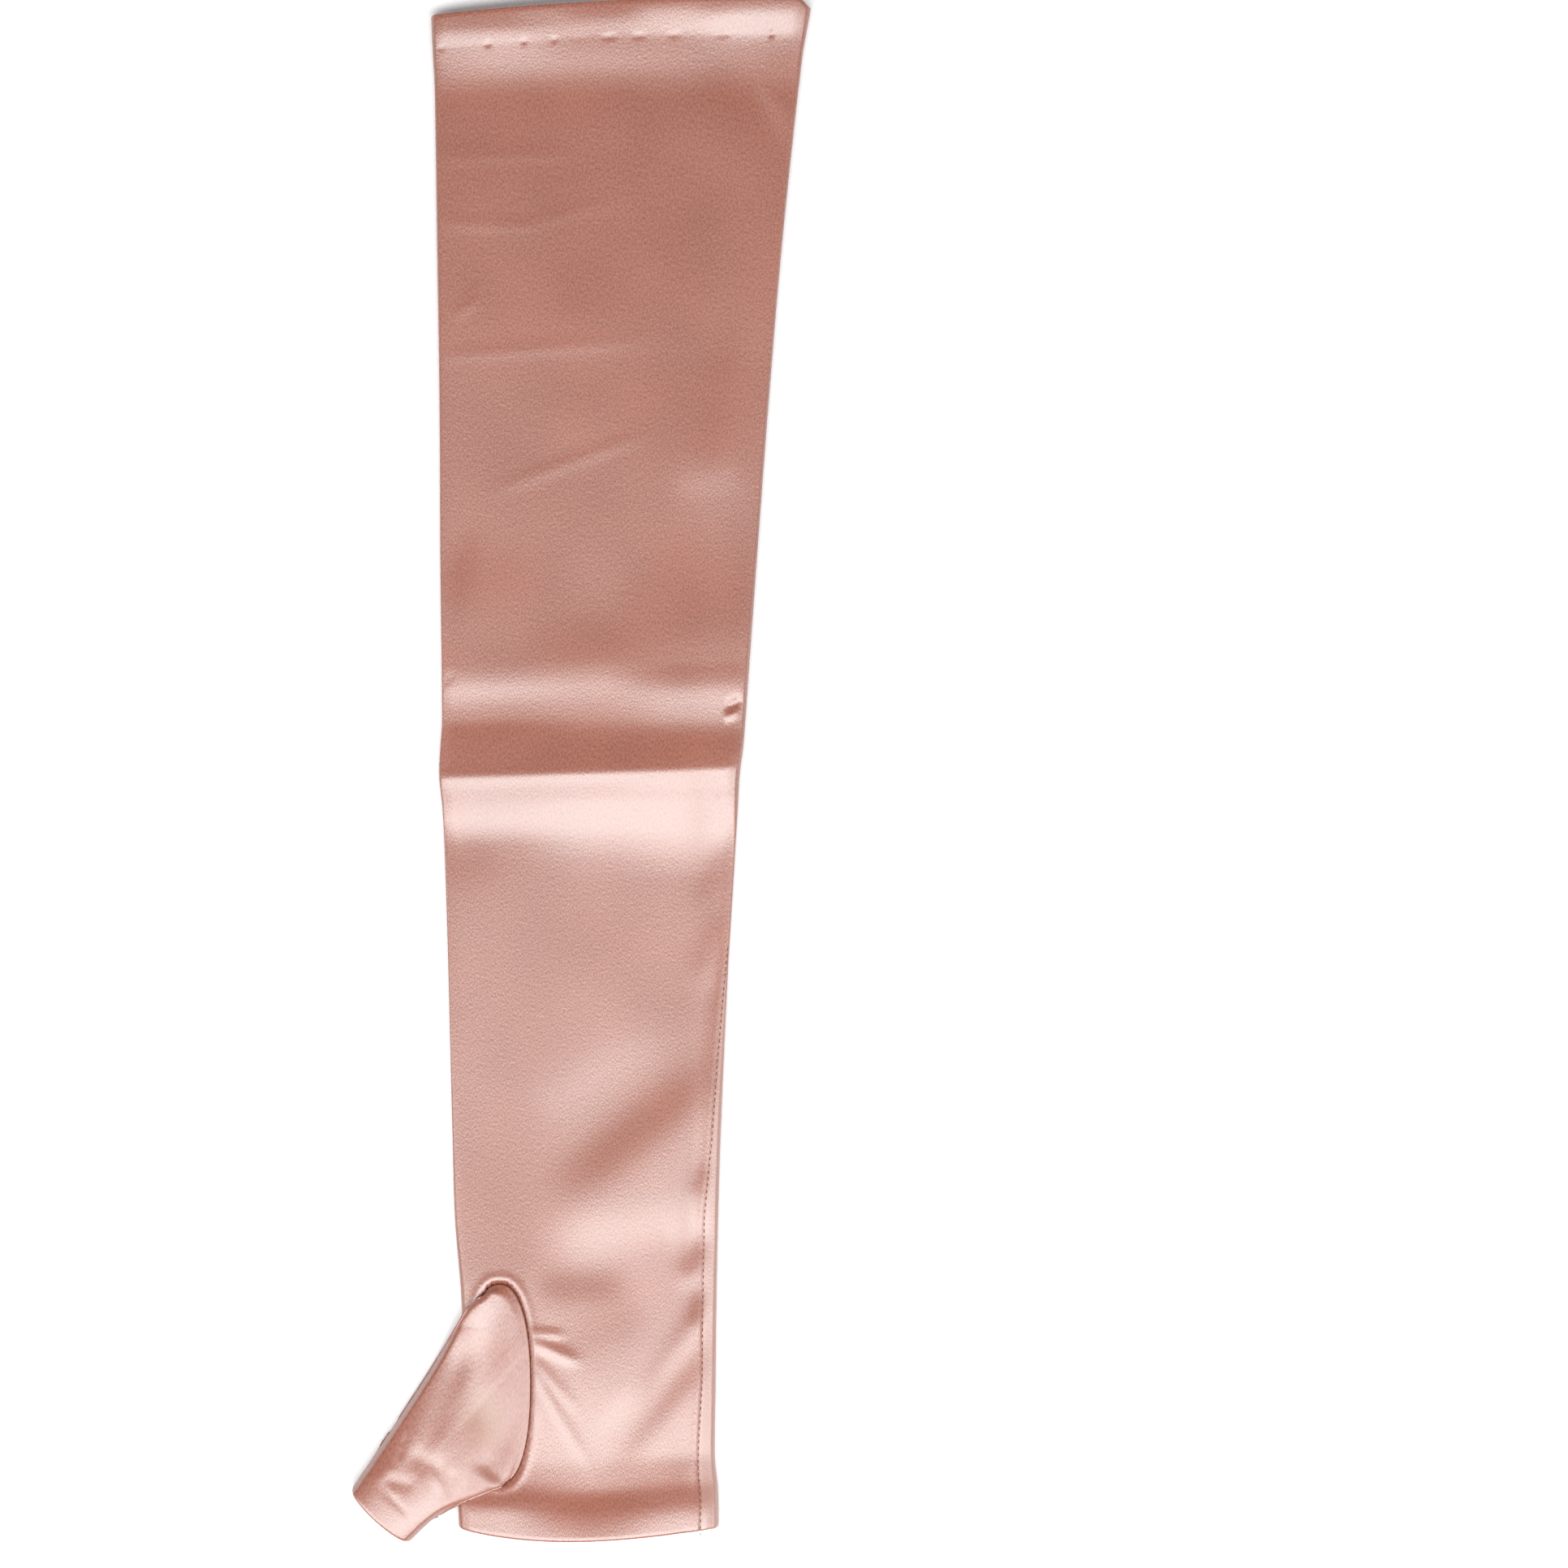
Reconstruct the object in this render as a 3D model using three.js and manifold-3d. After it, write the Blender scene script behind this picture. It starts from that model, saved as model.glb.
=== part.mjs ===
// A long fingerless evening mitten of satin, lying flat with its palm side up.
// X runs across the arm, Y along it from the hand to the upper arm, Z up. Millimetres.
import * as THREE from 'three';
import { mergeVertices } from 'three/addons/utils/BufferGeometryUtils.js';
import Module from 'manifold-3d';

const wasm = await Module();
wasm.setup();

// Driving sizes: the sleeve, laid flat
const ARM_LENGTH = 562;
const ARM_OPENING_WIDTH = 138.7;
const HAND_WIDTH = 95;
const HAND_MIDDLE = 2.2;
const OPENING_LEAN = 12;
const OPENING_DROP = 6.6;
const OPENING_CORNER = 3.6;
const HAND_BELLY = 4.6;

// Driving sizes: how the cloth lies
const CLOTH = 1;
const SEWN_GAP = 0.3;
const SIDE_FOLD_HEIGHT = 5.4;
const CROWN_HEIGHT = 9.8;

// Driving sizes: hems and seams
const ARM_HEM_DEPTH = 13;
const HAND_HEM_DEPTH = 12;
const THUMB_HEM_DEPTH = 7.5;
const SEAM_ALLOWANCE = 5;
const SEAM_END_GAP = 1.5;

// Driving sizes: the thumb
const HOLE_WIDTH = 22.6;
const HOLE_LENGTH = 72.5;
const HOLE_ABOVE_HEM = 20.5;
const HOLE_FROM_SIDE = 2.4;
const THUMB_LENGTH = 64;
const THUMB_ANGLE = THREE.MathUtils.degToRad(47.9);
const THUMB_MOUTH_WIDTH = 29;
const THUMB_MOUTH_HEIGHT = 9.6;
const THUMB_BASE_FOLD = 4.4;
const THUMB_MOUTH_BOW = 2.6;
const THUMB_SWELL = 3.3;
const CROTCH_SWELL = 1.5;
const THUMB_WAIST = 2.6;
const THUMB_DRAPE = 12;
const THUMB_OVERHANG = 6.3;
const THUMB_LIP = 0.6;

// Sections of the sleeve, from the hand hem to the arm opening. at: share of ARM_LENGTH.
// flare: share of the way from HAND_WIDTH to ARM_OPENING_WIDTH. lean: share of OPENING_LEAN.
// crown: share of CROWN_HEIGHT.
const SECTIONS = [
  { at: 0, flare: 0, lean: 0.02, crown: 1 },
  { at: 0.025, flare: 0, lean: 0, crown: 1 },
  { at: 0.05, flare: -0.054, lean: 0, crown: 0.94 },
  { at: 0.1, flare: -0.061, lean: 0.037, crown: 0.98 },
  { at: 0.154, flare: -0.041, lean: 0.025, crown: 0.97 },
  { at: 0.207, flare: 0.027, lean: -0.049, crown: 0.96 },
  { at: 0.26, flare: 0.068, lean: -0.049, crown: 0.95 },
  { at: 0.366, flare: 0.163, lean: 0, crown: 0.95 },
  { at: 0.419, flare: 0.224, lean: 0.037, crown: 0.96 },
  { at: 0.472, flare: 0.293, lean: 0.062, crown: 0.98 },
  { at: 0.4955, flare: 0.34, lean: 0.037, crown: 1 },
  { at: 0.514, flare: 0.361, lean: 0.111, crown: 0.98 },
  { at: 0.531, flare: 0.364, lean: 0.168, crown: 0.96 },
  { at: 0.63, flare: 0.469, lean: 0.309, crown: 0.94 },
  { at: 0.736, flare: 0.578, lean: 0.481, crown: 0.94 },
  { at: 0.842, flare: 0.714, lean: 0.654, crown: 0.94 },
  { at: 0.948, flare: 0.878, lean: 0.877, crown: 0.95 },
  { at: 0.972, flare: 0.925, lean: 0.914, crown: 1 },
  { at: 1, flare: 1, lean: 1, crown: 1 },
];

// Folds of the upper layer. at: share of ARM_LENGTH at mid width. slant: the rise of the fold
// from its left to its right end, and spread: its half width, both shares of ARM_LENGTH.
// from, to: the shares of the width that it spans. rise: share of CROWN_HEIGHT.
const FOLDS = [
  { name: 'cross fold, crest', at: 0.4945, slant: 0.004, spread: 0.011, from: 0, to: 1, rise: 0.24 },
  { name: 'cross fold, valley', at: 0.53, slant: 0.006, spread: 0.014, from: 0, to: 1, rise: -0.13 },
  { name: 'upper ripple', at: 0.562, slant: 0.012, spread: 0.013, from: 0.1, to: 1, rise: 0.07 },
  { name: 'forearm crease', at: 0.695, slant: 0.035, spread: 0.008, from: 0.15, to: 0.7, rise: -0.05 },
  { name: 'upper arm crease', at: 0.85, slant: 0.002, spread: 0.006, from: 0, to: 0.45, rise: -0.05 },
  { name: 'side dent', at: 0.443, slant: -0.012, spread: 0.016, from: 0, to: 0.3, rise: -0.12 },
  { name: 'wrist valley', at: 0.262, slant: 0.05, spread: 0.022, from: 0.35, to: 1, rise: -0.12 },
  { name: 'wrist crest', at: 0.222, slant: 0.034, spread: 0.018, from: 0.35, to: 1, rise: 0.12 },
  { name: 'palm pull', at: 0.118, slant: -0.02, spread: 0.007, from: 0.3, to: 0.56, rise: -0.08 },
];

// Stations along the sleeve: how many steps lead to each share of ARM_LENGTH.
const STATION_RUNS = [
  { to: 0.022, steps: 2 },
  { to: 0.19, steps: 11 },
  { to: 0.45, steps: 12 },
  { to: 0.58, steps: 14 },
  { to: 0.977, steps: 12 },
  { to: 1, steps: 2 },
];

// Steps round and across each piece
const FOLD_STEPS = 3;
const TOP_STEPS = 14;
const BACK_STEPS = 5;
const HEM_STEPS = 2;
const STRIP_STEPS = 3;
const THUMB_HALF_STEPS = 16;
const THUMB_STATIONS = [0, 0.02, 0.05, 0.1, 0.17, 0.25, 0.34, 0.44, 0.55, 0.66, 0.77, 0.88];

const { clamp, lerp, smoothstep } = THREE.MathUtils;
const FOLD_RADIUS = SIDE_FOLD_HEIGHT / 2;
const HALF_LENGTH = ARM_LENGTH / 2;
const HEM_INSET = CLOTH + SEWN_GAP;
const HEM_SHARE = THUMB_HEM_DEPTH / THUMB_LENGTH;

// Shapes of the curves: powers, and shares of a length, a width or a fold
const END_EASE = 0.08;
const BELLY_POWER = 0.8;
const CORNER_FROM = 0.95;
const FOLD_FADE = 0.1;
const CROWN_POWER = 2.6;
const SEAM_FOLD_SHARE = 0.75;
const OVAL_POWER = 2 / 2.3;
const THUMB_SEAM_FROM = 0.1;
const THUMB_ROOT = 0.05;
const THUMB_RISE = 0.26;
const THUMB_EDGE_LIFT = 0.8;
const SWELL_FROM = 0.015;
const SWELL_TO = 0.12;
const SWELL_FADE = 3;
const WAIST_POWER = 1.3;

// Limits of the arithmetic
const SLOPE_STEP = 0.5;
const TANGENT_STEP = 0.02;
const SHARE_PASSES = 4;
const LEAST_AREA = 1e-9;
const LEAST_MITRE = 0.72;
const WELD = 1e-4;

// Where the thumb's oval seam lies, and the line that the thumb lies along: its two side
// folds start where the oval runs with that line.
const HOLE_Y = HOLE_ABOVE_HEM + HOLE_LENGTH / 2 - HALF_LENGTH;
const HOLE_X = sleeveLeft((HOLE_Y + HALF_LENGTH) / ARM_LENGTH) + HOLE_FROM_SIDE + HOLE_WIDTH / 2;
const THUMB_WAY = new THREE.Vector2(-Math.cos(THUMB_ANGLE), -Math.sin(THUMB_ANGLE));
const THUMB_ACROSS = new THREE.Vector2(-THUMB_WAY.y, THUMB_WAY.x);
const FOLD_TURN = Math.PI - Math.atan((HOLE_LENGTH / HOLE_WIDTH) / Math.tan(THUMB_ANGLE));
const THUMB_MOUTH = new THREE.Vector2(HOLE_X, HOLE_Y).addScaledVector(THUMB_WAY, THUMB_LENGTH);

// A value of the sections' table at a share of the length, eased between rows.
function sectionValue(column, at) {
  const last = SECTIONS.length - 1;
  const next = clamp(SECTIONS.findIndex((row) => row.at > at), 1, last);
  const row = at >= 1 ? last : next;
  const p = (k) => SECTIONS[clamp(k, 0, last)];
  const span = p(row).at - p(row - 1).at;
  const t = clamp((at - p(row - 1).at) / span, 0, 1);
  const slope = (k) => {
    const width = p(k + 1).at - p(k - 1).at;
    return width > 0 ? ((p(k + 1)[column] - p(k - 1)[column]) / width) * span : 0;
  };
  const a = p(row - 1)[column];
  const b = p(row)[column];
  const ease = t * t * (3 - 2 * t);
  const bend = t * (1 - t) * ((1 - t) * slope(row - 1) - t * slope(row));
  return lerp(a, b, ease) + bend;
}

function sleeveWidth(at) {
  return HAND_WIDTH + sectionValue('flare', at) * (ARM_OPENING_WIDTH - HAND_WIDTH);
}

function sleeveLeft(at) {
  return HAND_MIDDLE + sectionValue('lean', at) * OPENING_LEAN - sleeveWidth(at) / 2;
}

// How far a point lies above its section's level line: the two openings aren't square.
function edgeShift(at, u) {
  const belly = HAND_BELLY * (1 - Math.sin(Math.PI * clamp(u, 0, 1) ** BELLY_POWER));
  const corner = OPENING_CORNER * smoothstep(u, CORNER_FROM, 1) ** 2;
  const drop = OPENING_DROP * (1 - clamp(u, 0, 1)) ** 2 + corner;
  const nearHand = 1 - smoothstep(at, 0, END_EASE);
  const nearOpening = smoothstep(at, 1 - END_EASE, 1);
  return belly * nearHand - drop * nearOpening;
}

function foldRise(at, u) {
  let rise = 0;
  for (const fold of FOLDS) {
    const middle = fold.at + fold.slant * (u - 0.5);
    const across = smoothstep(u, fold.from - FOLD_FADE, fold.from + FOLD_FADE)
      * (1 - smoothstep(u, fold.to - FOLD_FADE, fold.to + FOLD_FADE));
    rise += fold.rise * across * Math.exp(-(((at - middle) / fold.spread) ** 2));
  }
  return rise * CROWN_HEIGHT;
}

// The height of the upper layer's outside, at a share of the length and of the width.
function topHeight(at, u) {
  const width = sleeveWidth(at);
  const fromSide = Math.min(u, 1 - u) * width;
  const crown = sectionValue('crown', at) * CROWN_HEIGHT - SIDE_FOLD_HEIGHT + foldRise(at, u);
  const share = clamp((2 * fromSide) / width, 0, 1);
  const round = FOLD_RADIUS ** 2 - Math.max(0, FOLD_RADIUS - fromSide) ** 2;
  return FOLD_RADIUS + Math.sqrt(Math.max(0, round)) + crown * (1 - (1 - share) ** CROWN_POWER);
}

function sleevePoint(at, u, z) {
  const x = sleeveLeft(at) + u * sleeveWidth(at);
  return new THREE.Vector3(x, at * ARM_LENGTH - HALF_LENGTH + edgeShift(at, u), z);
}

// The shares of the length and the width that lie under a place seen from above.
function sharesAt(x, y) {
  const shares = { at: (y + HALF_LENGTH) / ARM_LENGTH, u: 0 };
  for (let pass = 0; pass < SHARE_PASSES; pass += 1) {
    const at = clamp(shares.at, 0, 1);
    shares.u = (x - sleeveLeft(at)) / sleeveWidth(at);
    shares.at = (y + HALF_LENGTH - edgeShift(at, shares.u)) / ARM_LENGTH;
  }
  return { at: clamp(shares.at, 0, 1), u: clamp(shares.u, 0, 1) };
}

function topHeightAt(x, y) {
  const { at, u } = sharesAt(x, y);
  return topHeight(at, u);
}

// A point under the upper layer, at a depth square to its outside.
function underTop(x, y, depth) {
  const step = SLOPE_STEP;
  const slopeX = (topHeightAt(x + step, y) - topHeightAt(x - step, y)) / (2 * step);
  const slopeY = (topHeightAt(x, y + step) - topHeightAt(x, y - step)) / (2 * step);
  const normal = new THREE.Vector3(-slopeX, -slopeY, 1).normalize();
  return new THREE.Vector3(x, y, topHeightAt(x, y)).addScaledVector(normal, -depth);
}

// One loop round the sleeve: upper layer from left to right, then the back layer to the left.
function sleeveLoop(at) {
  const width = sleeveWidth(at);
  const foldShare = FOLD_RADIUS / width;
  const loop = [];
  const foldAt = (turn) => foldShare * (1 - Math.cos(turn));
  const turns = evenly(0, Math.PI / 2, FOLD_STEPS).slice(0, -1);
  const tops = evenly(foldShare, 1 - foldShare, TOP_STEPS);
  const backs = evenly(1 - foldShare, foldShare, BACK_STEPS);
  const backHeight = (turn) => FOLD_RADIUS * (1 - Math.sin(turn));
  turns.forEach((turn) => loop.push(sleevePoint(at, foldAt(turn), topHeight(at, foldAt(turn)))));
  tops.forEach((u) => loop.push(sleevePoint(at, u, topHeight(at, u))));
  [...turns].reverse().forEach((turn) => {
    const u = 1 - foldAt(turn);
    loop.push(sleevePoint(at, u, topHeight(at, u)));
  });
  const under = turns.slice(1);
  under.forEach((turn) => loop.push(sleevePoint(at, 1 - foldAt(turn), backHeight(turn))));
  backs.forEach((u) => loop.push(sleevePoint(at, u, 0)));
  under.reverse().forEach((turn) => loop.push(sleevePoint(at, foldAt(turn), backHeight(turn))));
  return loop.reverse();
}

// Normals of a grid of points, by the faces that meet at each, longer where they fold.
function gridNormals(grid, closed) {
  const rows = grid.length;
  const columns = grid[0].length;
  const normals = grid.map((row) => row.map(() => []));
  const face = new THREE.Triangle();
  for (let k = 0; k + 1 < rows; k += 1) {
    for (let j = 0; j < (closed ? columns : columns - 1); j += 1) {
      const i = (j + 1) % columns;
      const corners = [[k, j], [k + 1, j], [k + 1, i], [k, i]];
      corners.forEach((corner, c) => {
        const before = corners[(c + 3) % 4];
        const after = corners[(c + 1) % 4];
        face.set(grid[before[0]][before[1]], grid[corner[0]][corner[1]], grid[after[0]][after[1]]);
        if (face.getArea() < LEAST_AREA) return;
        normals[corner[0]][corner[1]].push(face.getNormal(new THREE.Vector3()));
      });
    }
  }
  return normals.map((row) => row.map((list) => {
    const sum = list.reduce((total, n) => total.add(n), new THREE.Vector3());
    const share = Math.max(sum.length() / list.length, LEAST_MITRE);
    return sum.normalize().divideScalar(share);
  }));
}

function inset(grid, depth, closed) {
  const normals = gridNormals(grid, closed);
  return grid.map((row, k) => row.map((point, j) => point.clone().addScaledVector(normals[k][j], -depth)));
}

// A wall of cloth: the grid is its outside, and its inside lies one thickness in.
function clothWall(grid, closed) {
  const rows = grid.length;
  const columns = grid[0].length;
  const inner = inset(grid, CLOTH, closed);
  const points = [...grid.flat(), ...inner.flat()];
  const outside = (k, j) => k * columns + (j % columns);
  const inside = (k, j) => rows * columns + outside(k, j);
  const index = [];
  const quad = (a, b, c, d) => index.push(a, b, c, a, c, d);
  const spans = closed ? columns : columns - 1;
  for (let j = 0; j < spans; j += 1) {
    for (let k = 0; k + 1 < rows; k += 1) {
      quad(outside(k, j), outside(k + 1, j), outside(k + 1, j + 1), outside(k, j + 1));
      quad(inside(k, j), inside(k, j + 1), inside(k + 1, j + 1), inside(k + 1, j));
    }
    quad(outside(0, j), outside(0, j + 1), inside(0, j + 1), inside(0, j));
    const end = rows - 1;
    quad(outside(end, j), inside(end, j), inside(end, j + 1), outside(end, j + 1));
  }
  for (let k = 0; k + 1 < rows && !closed; k += 1) {
    const side = columns - 1;
    quad(outside(k, 0), inside(k, 0), inside(k + 1, 0), outside(k + 1, 0));
    quad(outside(k, side), outside(k + 1, side), inside(k + 1, side), inside(k, side));
  }
  const geometry = new THREE.BufferGeometry().setFromPoints(points);
  geometry.setIndex(index);
  return geometry;
}

// The oval seam of the thumb, pulled in by a distance square to its line.
function ovalPoint(angle, pulledIn) {
  const at = (turn) => {
    const c = Math.cos(turn);
    const s = Math.sin(turn);
    const x = Math.sign(c) * Math.abs(c) ** OVAL_POWER * (HOLE_WIDTH / 2);
    const y = Math.sign(s) * Math.abs(s) ** OVAL_POWER * (HOLE_LENGTH / 2);
    return new THREE.Vector2(HOLE_X + x, HOLE_Y + y);
  };
  const along = at(angle + TANGENT_STEP).sub(at(angle - TANGENT_STEP)).normalize();
  const outward = new THREE.Vector2(along.y, -along.x);
  return at(angle).addScaledVector(outward, -pulledIn);
}

// How far down the cloth under the thumb has come from the sleeve's edge to the surface.
function drapeShare(x, y) {
  const beyond = sleeveLeft(sharesAt(x, y).at) - x;
  return smoothstep(beyond, -FOLD_RADIUS, THUMB_DRAPE);
}

function drapeHeight(x, y) {
  return (SIDE_FOLD_HEIGHT + SEWN_GAP + THUMB_LIP) * (1 - drapeShare(x, y));
}

function underThumb(x, y) {
  const overSleeve = x > sleeveLeft(sharesAt(x, y).at) ? topHeightAt(x, y) + SEWN_GAP : 0;
  return Math.max(drapeHeight(x, y), overSleeve);
}

// The plan of a thumb point: from the oval seam to the mouth, bowed along the two side folds.
function thumbPlan(t, turn, upper) {
  const across = (1 - Math.cos(turn)) / 2;
  const seam = ovalPoint(FOLD_TURN + (upper ? -turn : turn), SEWN_GAP);
  const mouth = THUMB_MOUTH.clone()
    .addScaledVector(THUMB_ACROSS, (across - 0.5) * THUMB_MOUTH_WIDTH)
    .addScaledVector(THUMB_WAY, THUMB_MOUTH_BOW * Math.sin(turn));
  const root = (1 - t) ** SWELL_FADE * smoothstep(t, SWELL_FROM, SWELL_TO);
  const waist = THUMB_WAIST * Math.sin(Math.PI * t ** WAIST_POWER);
  const outward = -THUMB_SWELL * root * (1 - across) ** SWELL_FADE;
  const inward = (CROTCH_SWELL * root - waist) * across ** SWELL_FADE;
  return seam.lerp(mouth, t).addScaledVector(THUMB_ACROSS, outward + inward);
}

// The side fold beside a place in the thumb's plan, and how far across the thumb it lies.
function thumbFold(plan, side) {
  const from = thumbPlan(0, side, true);
  const to = thumbPlan(1, side, true);
  const t = clamp(plan.clone().sub(from).dot(THUMB_WAY) / to.sub(from).dot(THUMB_WAY), 0, 1);
  const edge = thumbPlan(t, side, true);
  return { edge, away: Math.abs(plan.clone().sub(edge).dot(THUMB_ACROSS)) };
}

function thumbPoint(t, turn, upper) {
  const plan = thumbPlan(t, turn, upper);
  const [first, second] = [0, Math.PI].map((side) => thumbFold(plan, side));
  const { edge, away } = first.away < second.away ? first : second;
  const radius = lerp(THUMB_BASE_FOLD / 2, FOLD_RADIUS, drapeShare(edge.x, edge.y));
  const round = Math.sqrt(1 - (1 - Math.min(away / radius, 1)) ** 2);
  const edgeLevel = underThumb(edge.x, edge.y);
  const edgeHeight = edgeLevel + lerp(THUMB_LIP, radius, smoothstep(t, 0, THUMB_ROOT));
  const level = underThumb(plan.x, plan.y);
  if (!upper) return new THREE.Vector3(plan.x, plan.y, lerp(edgeHeight, level, round));
  const start = thumbPlan(0, turn, upper);
  const seamHeight = topHeightAt(start.x, start.y) + THUMB_LIP;
  const lift = lerp(THUMB_OVERHANG, THUMB_MOUTH_HEIGHT, drapeShare(plan.x, plan.y));
  const puffed = drapeHeight(plan.x, plan.y) + lift * lerp(THUMB_EDGE_LIFT, 1, Math.sin(turn));
  const body = Math.max(puffed, edgeLevel + 2 * radius);
  const rise = smoothstep(t, 0, THUMB_ROOT + THUMB_RISE * Math.sin(turn) ** 2);
  const top = lerp(seamHeight, body, rise);
  return new THREE.Vector3(plan.x, plan.y, lerp(edgeHeight, top, round));
}

function thumbLoop(pointAt) {
  const step = Math.PI / THUMB_HALF_STEPS;
  const turns = [0, ...evenly(2 * step, Math.PI - 2 * step, THUMB_HALF_STEPS - 4)];
  return [
    ...turns.map((turn) => pointAt(turn, true)),
    ...turns.map((turn) => pointAt(Math.PI - turn, false)),
  ];
}

function thumbCollar() {
  return thumbLoop((turn, upper) => {
    const plan = thumbPlan(0, turn, upper);
    return new THREE.Vector3(plan.x, plan.y, topHeightAt(plan.x, plan.y) - CLOTH);
  });
}

function thumbLoops(shares) {
  return shares.map((t) => thumbLoop((turn, upper) => thumbPoint(t, turn, upper)));
}

function evenly(from, to, steps) {
  return Array.from({ length: steps + 1 }, (_, k) => lerp(from, to, k / steps));
}

function stations() {
  const list = [0];
  for (const run of STATION_RUNS) list.push(...evenly(list.at(-1), run.to, run.steps).slice(1));
  return list;
}

// The sleeve, cut through its upper layer along the oval.
function armSleeve() {
  const tube = clothWall(stations().map(sleeveLoop), true);
  const outline = thumbLoop((turn, upper) => ovalPoint(FOLD_TURN + (upper ? -turn : turn), 0));
  const cutter = new THREE.ExtrudeGeometry(new THREE.Shape(outline), {
    depth: 2 * CROWN_HEIGHT,
    bevelEnabled: false,
  });
  cutter.translate(0, 0, FOLD_RADIUS);
  return geometryOf(solidOf(tube).subtract(solidOf(cutter)));
}

function solidOf(geometry) {
  const bare = new THREE.BufferGeometry();
  bare.setAttribute('position', geometry.getAttribute('position'));
  bare.setIndex(geometry.getIndex());
  const merged = mergeVertices(bare, WELD);
  const mesh = new wasm.Mesh({
    numProp: 3,
    vertProperties: new Float32Array(merged.getAttribute('position').array),
    triVerts: new Uint32Array(merged.getIndex().array),
  });
  return new wasm.Manifold(mesh);
}

function geometryOf(solid) {
  const mesh = solid.getMesh();
  const geometry = new THREE.BufferGeometry();
  geometry.setAttribute('position', new THREE.BufferAttribute(mesh.vertProperties, 3));
  geometry.setIndex(new THREE.BufferAttribute(mesh.triVerts, 1));
  return geometry;
}

// A hem: the same cloth turned in, so it follows the mouth's own loops one wall further in.
function hem(loops) {
  return clothWall(inset(loops, HEM_INSET, true), true);
}

function armHem() {
  return hem(evenly(1 - ARM_HEM_DEPTH / ARM_LENGTH, 1, HEM_STEPS).map(sleeveLoop));
}

function handHem() {
  return hem(evenly(0, HAND_HEM_DEPTH / ARM_LENGTH, HEM_STEPS).map(sleeveLoop));
}

function thumbHem() {
  return hem(thumbLoops(evenly(1 - HEM_SHARE, 1, HEM_STEPS)));
}

// The side seam's allowance, under the upper layer beside the right fold, from hem to hem.
function sideSeam() {
  const from = (HAND_HEM_DEPTH + SEAM_END_GAP) / ARM_LENGTH;
  const to = 1 - (ARM_HEM_DEPTH + SEAM_END_GAP) / ARM_LENGTH;
  const inFromSide = FOLD_RADIUS * SEAM_FOLD_SHARE;
  const rows = [from, ...stations().filter((at) => at > from && at < to), to].map((at) => {
    const right = sleeveLeft(at) + sleeveWidth(at) - inFromSide;
    return evenly(right, right - SEAM_ALLOWANCE, STRIP_STEPS).map((x) => {
      const u = (x - sleeveLeft(at)) / sleeveWidth(at);
      return underTop(x, sleevePoint(at, u, 0).y, HEM_INSET);
    });
  });
  return clothWall(rows, false);
}

// The thumb seam's allowance, turned under along the oval's right side.
function thumbSeam() {
  const shares = evenly(THUMB_SEAM_FROM, 1 - THUMB_SEAM_FROM, THUMB_HALF_STEPS);
  const depths = evenly(HEM_INSET, HEM_INSET - SEAM_ALLOWANCE, STRIP_STEPS);
  const rows = shares.map((share) => depths.map((pulledIn) => {
    const plan = ovalPoint(FOLD_TURN - share * Math.PI, pulledIn);
    return underTop(plan.x, plan.y, HEM_INSET);
  }));
  return clothWall(rows, false);
}

function thumbStall() {
  const loops = thumbLoops([...THUMB_STATIONS, ...evenly(1 - HEM_SHARE, 1, HEM_STEPS)]);
  return clothWall([thumbCollar(), ...loops], true);
}

// Satin outside, its duller wrong side on what is turned in
const satin = { color: 0xcb9a8f, roughness: 0.36, metalness: 0 };
const turnedIn = { color: 0xc39387, roughness: 0.55, metalness: 0 };

const mitten = new THREE.Group();

function add(name, geometry, finish) {
  geometry.computeVertexNormals();
  const mesh = new THREE.Mesh(geometry, new THREE.MeshStandardMaterial(finish));
  mesh.name = name;
  mitten.add(mesh);
}

add('arm_sleeve', armSleeve(), satin);
add('thumb_stall', thumbStall(), satin);
add('arm_hem', armHem(), turnedIn);
add('hand_hem', handHem(), turnedIn);
add('thumb_hem', thumbHem(), turnedIn);
add('side_seam', sideSeam(), turnedIn);
add('thumb_seam', thumbSeam(), turnedIn);

export default mitten;
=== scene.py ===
# %% [markdown]
# # A long satin mitten, laid flat
# The real mitten is a tube of satin for the arm, closed by one long seam, with an oval hole
# that a short open thumb is sewn into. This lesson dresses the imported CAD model: it keeps
# the model's frame and sizes, and remakes each piece of cloth as a thin sheet with its folds.
# A cloth simulation would fold it too, but at random, and these folds have their places. So
# the folds are written down in tables, and functions turn the tables into cloth.

import bpy
import math
import numpy as np
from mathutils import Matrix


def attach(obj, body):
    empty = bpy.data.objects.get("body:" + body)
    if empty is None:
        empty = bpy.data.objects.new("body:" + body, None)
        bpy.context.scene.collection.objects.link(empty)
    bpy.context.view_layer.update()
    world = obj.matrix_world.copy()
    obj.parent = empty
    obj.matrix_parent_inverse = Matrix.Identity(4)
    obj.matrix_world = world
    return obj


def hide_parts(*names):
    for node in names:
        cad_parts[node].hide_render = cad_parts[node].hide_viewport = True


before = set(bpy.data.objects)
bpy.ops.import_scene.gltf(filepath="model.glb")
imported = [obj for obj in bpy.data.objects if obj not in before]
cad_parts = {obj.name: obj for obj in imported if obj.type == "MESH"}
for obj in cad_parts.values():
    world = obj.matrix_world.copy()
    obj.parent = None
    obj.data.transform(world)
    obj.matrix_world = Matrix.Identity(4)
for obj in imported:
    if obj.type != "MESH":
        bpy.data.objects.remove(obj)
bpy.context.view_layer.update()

# %% [markdown]
# ## Sizes
# Everything is laid out in millimetres, as on a pattern sheet, and turned into metres only
# when a mesh is made. X runs across the arm, Y from the hand to the upper arm, Z up. The
# sizes are those of the CAD model, so the new cloth lies where the solids are.

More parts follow.
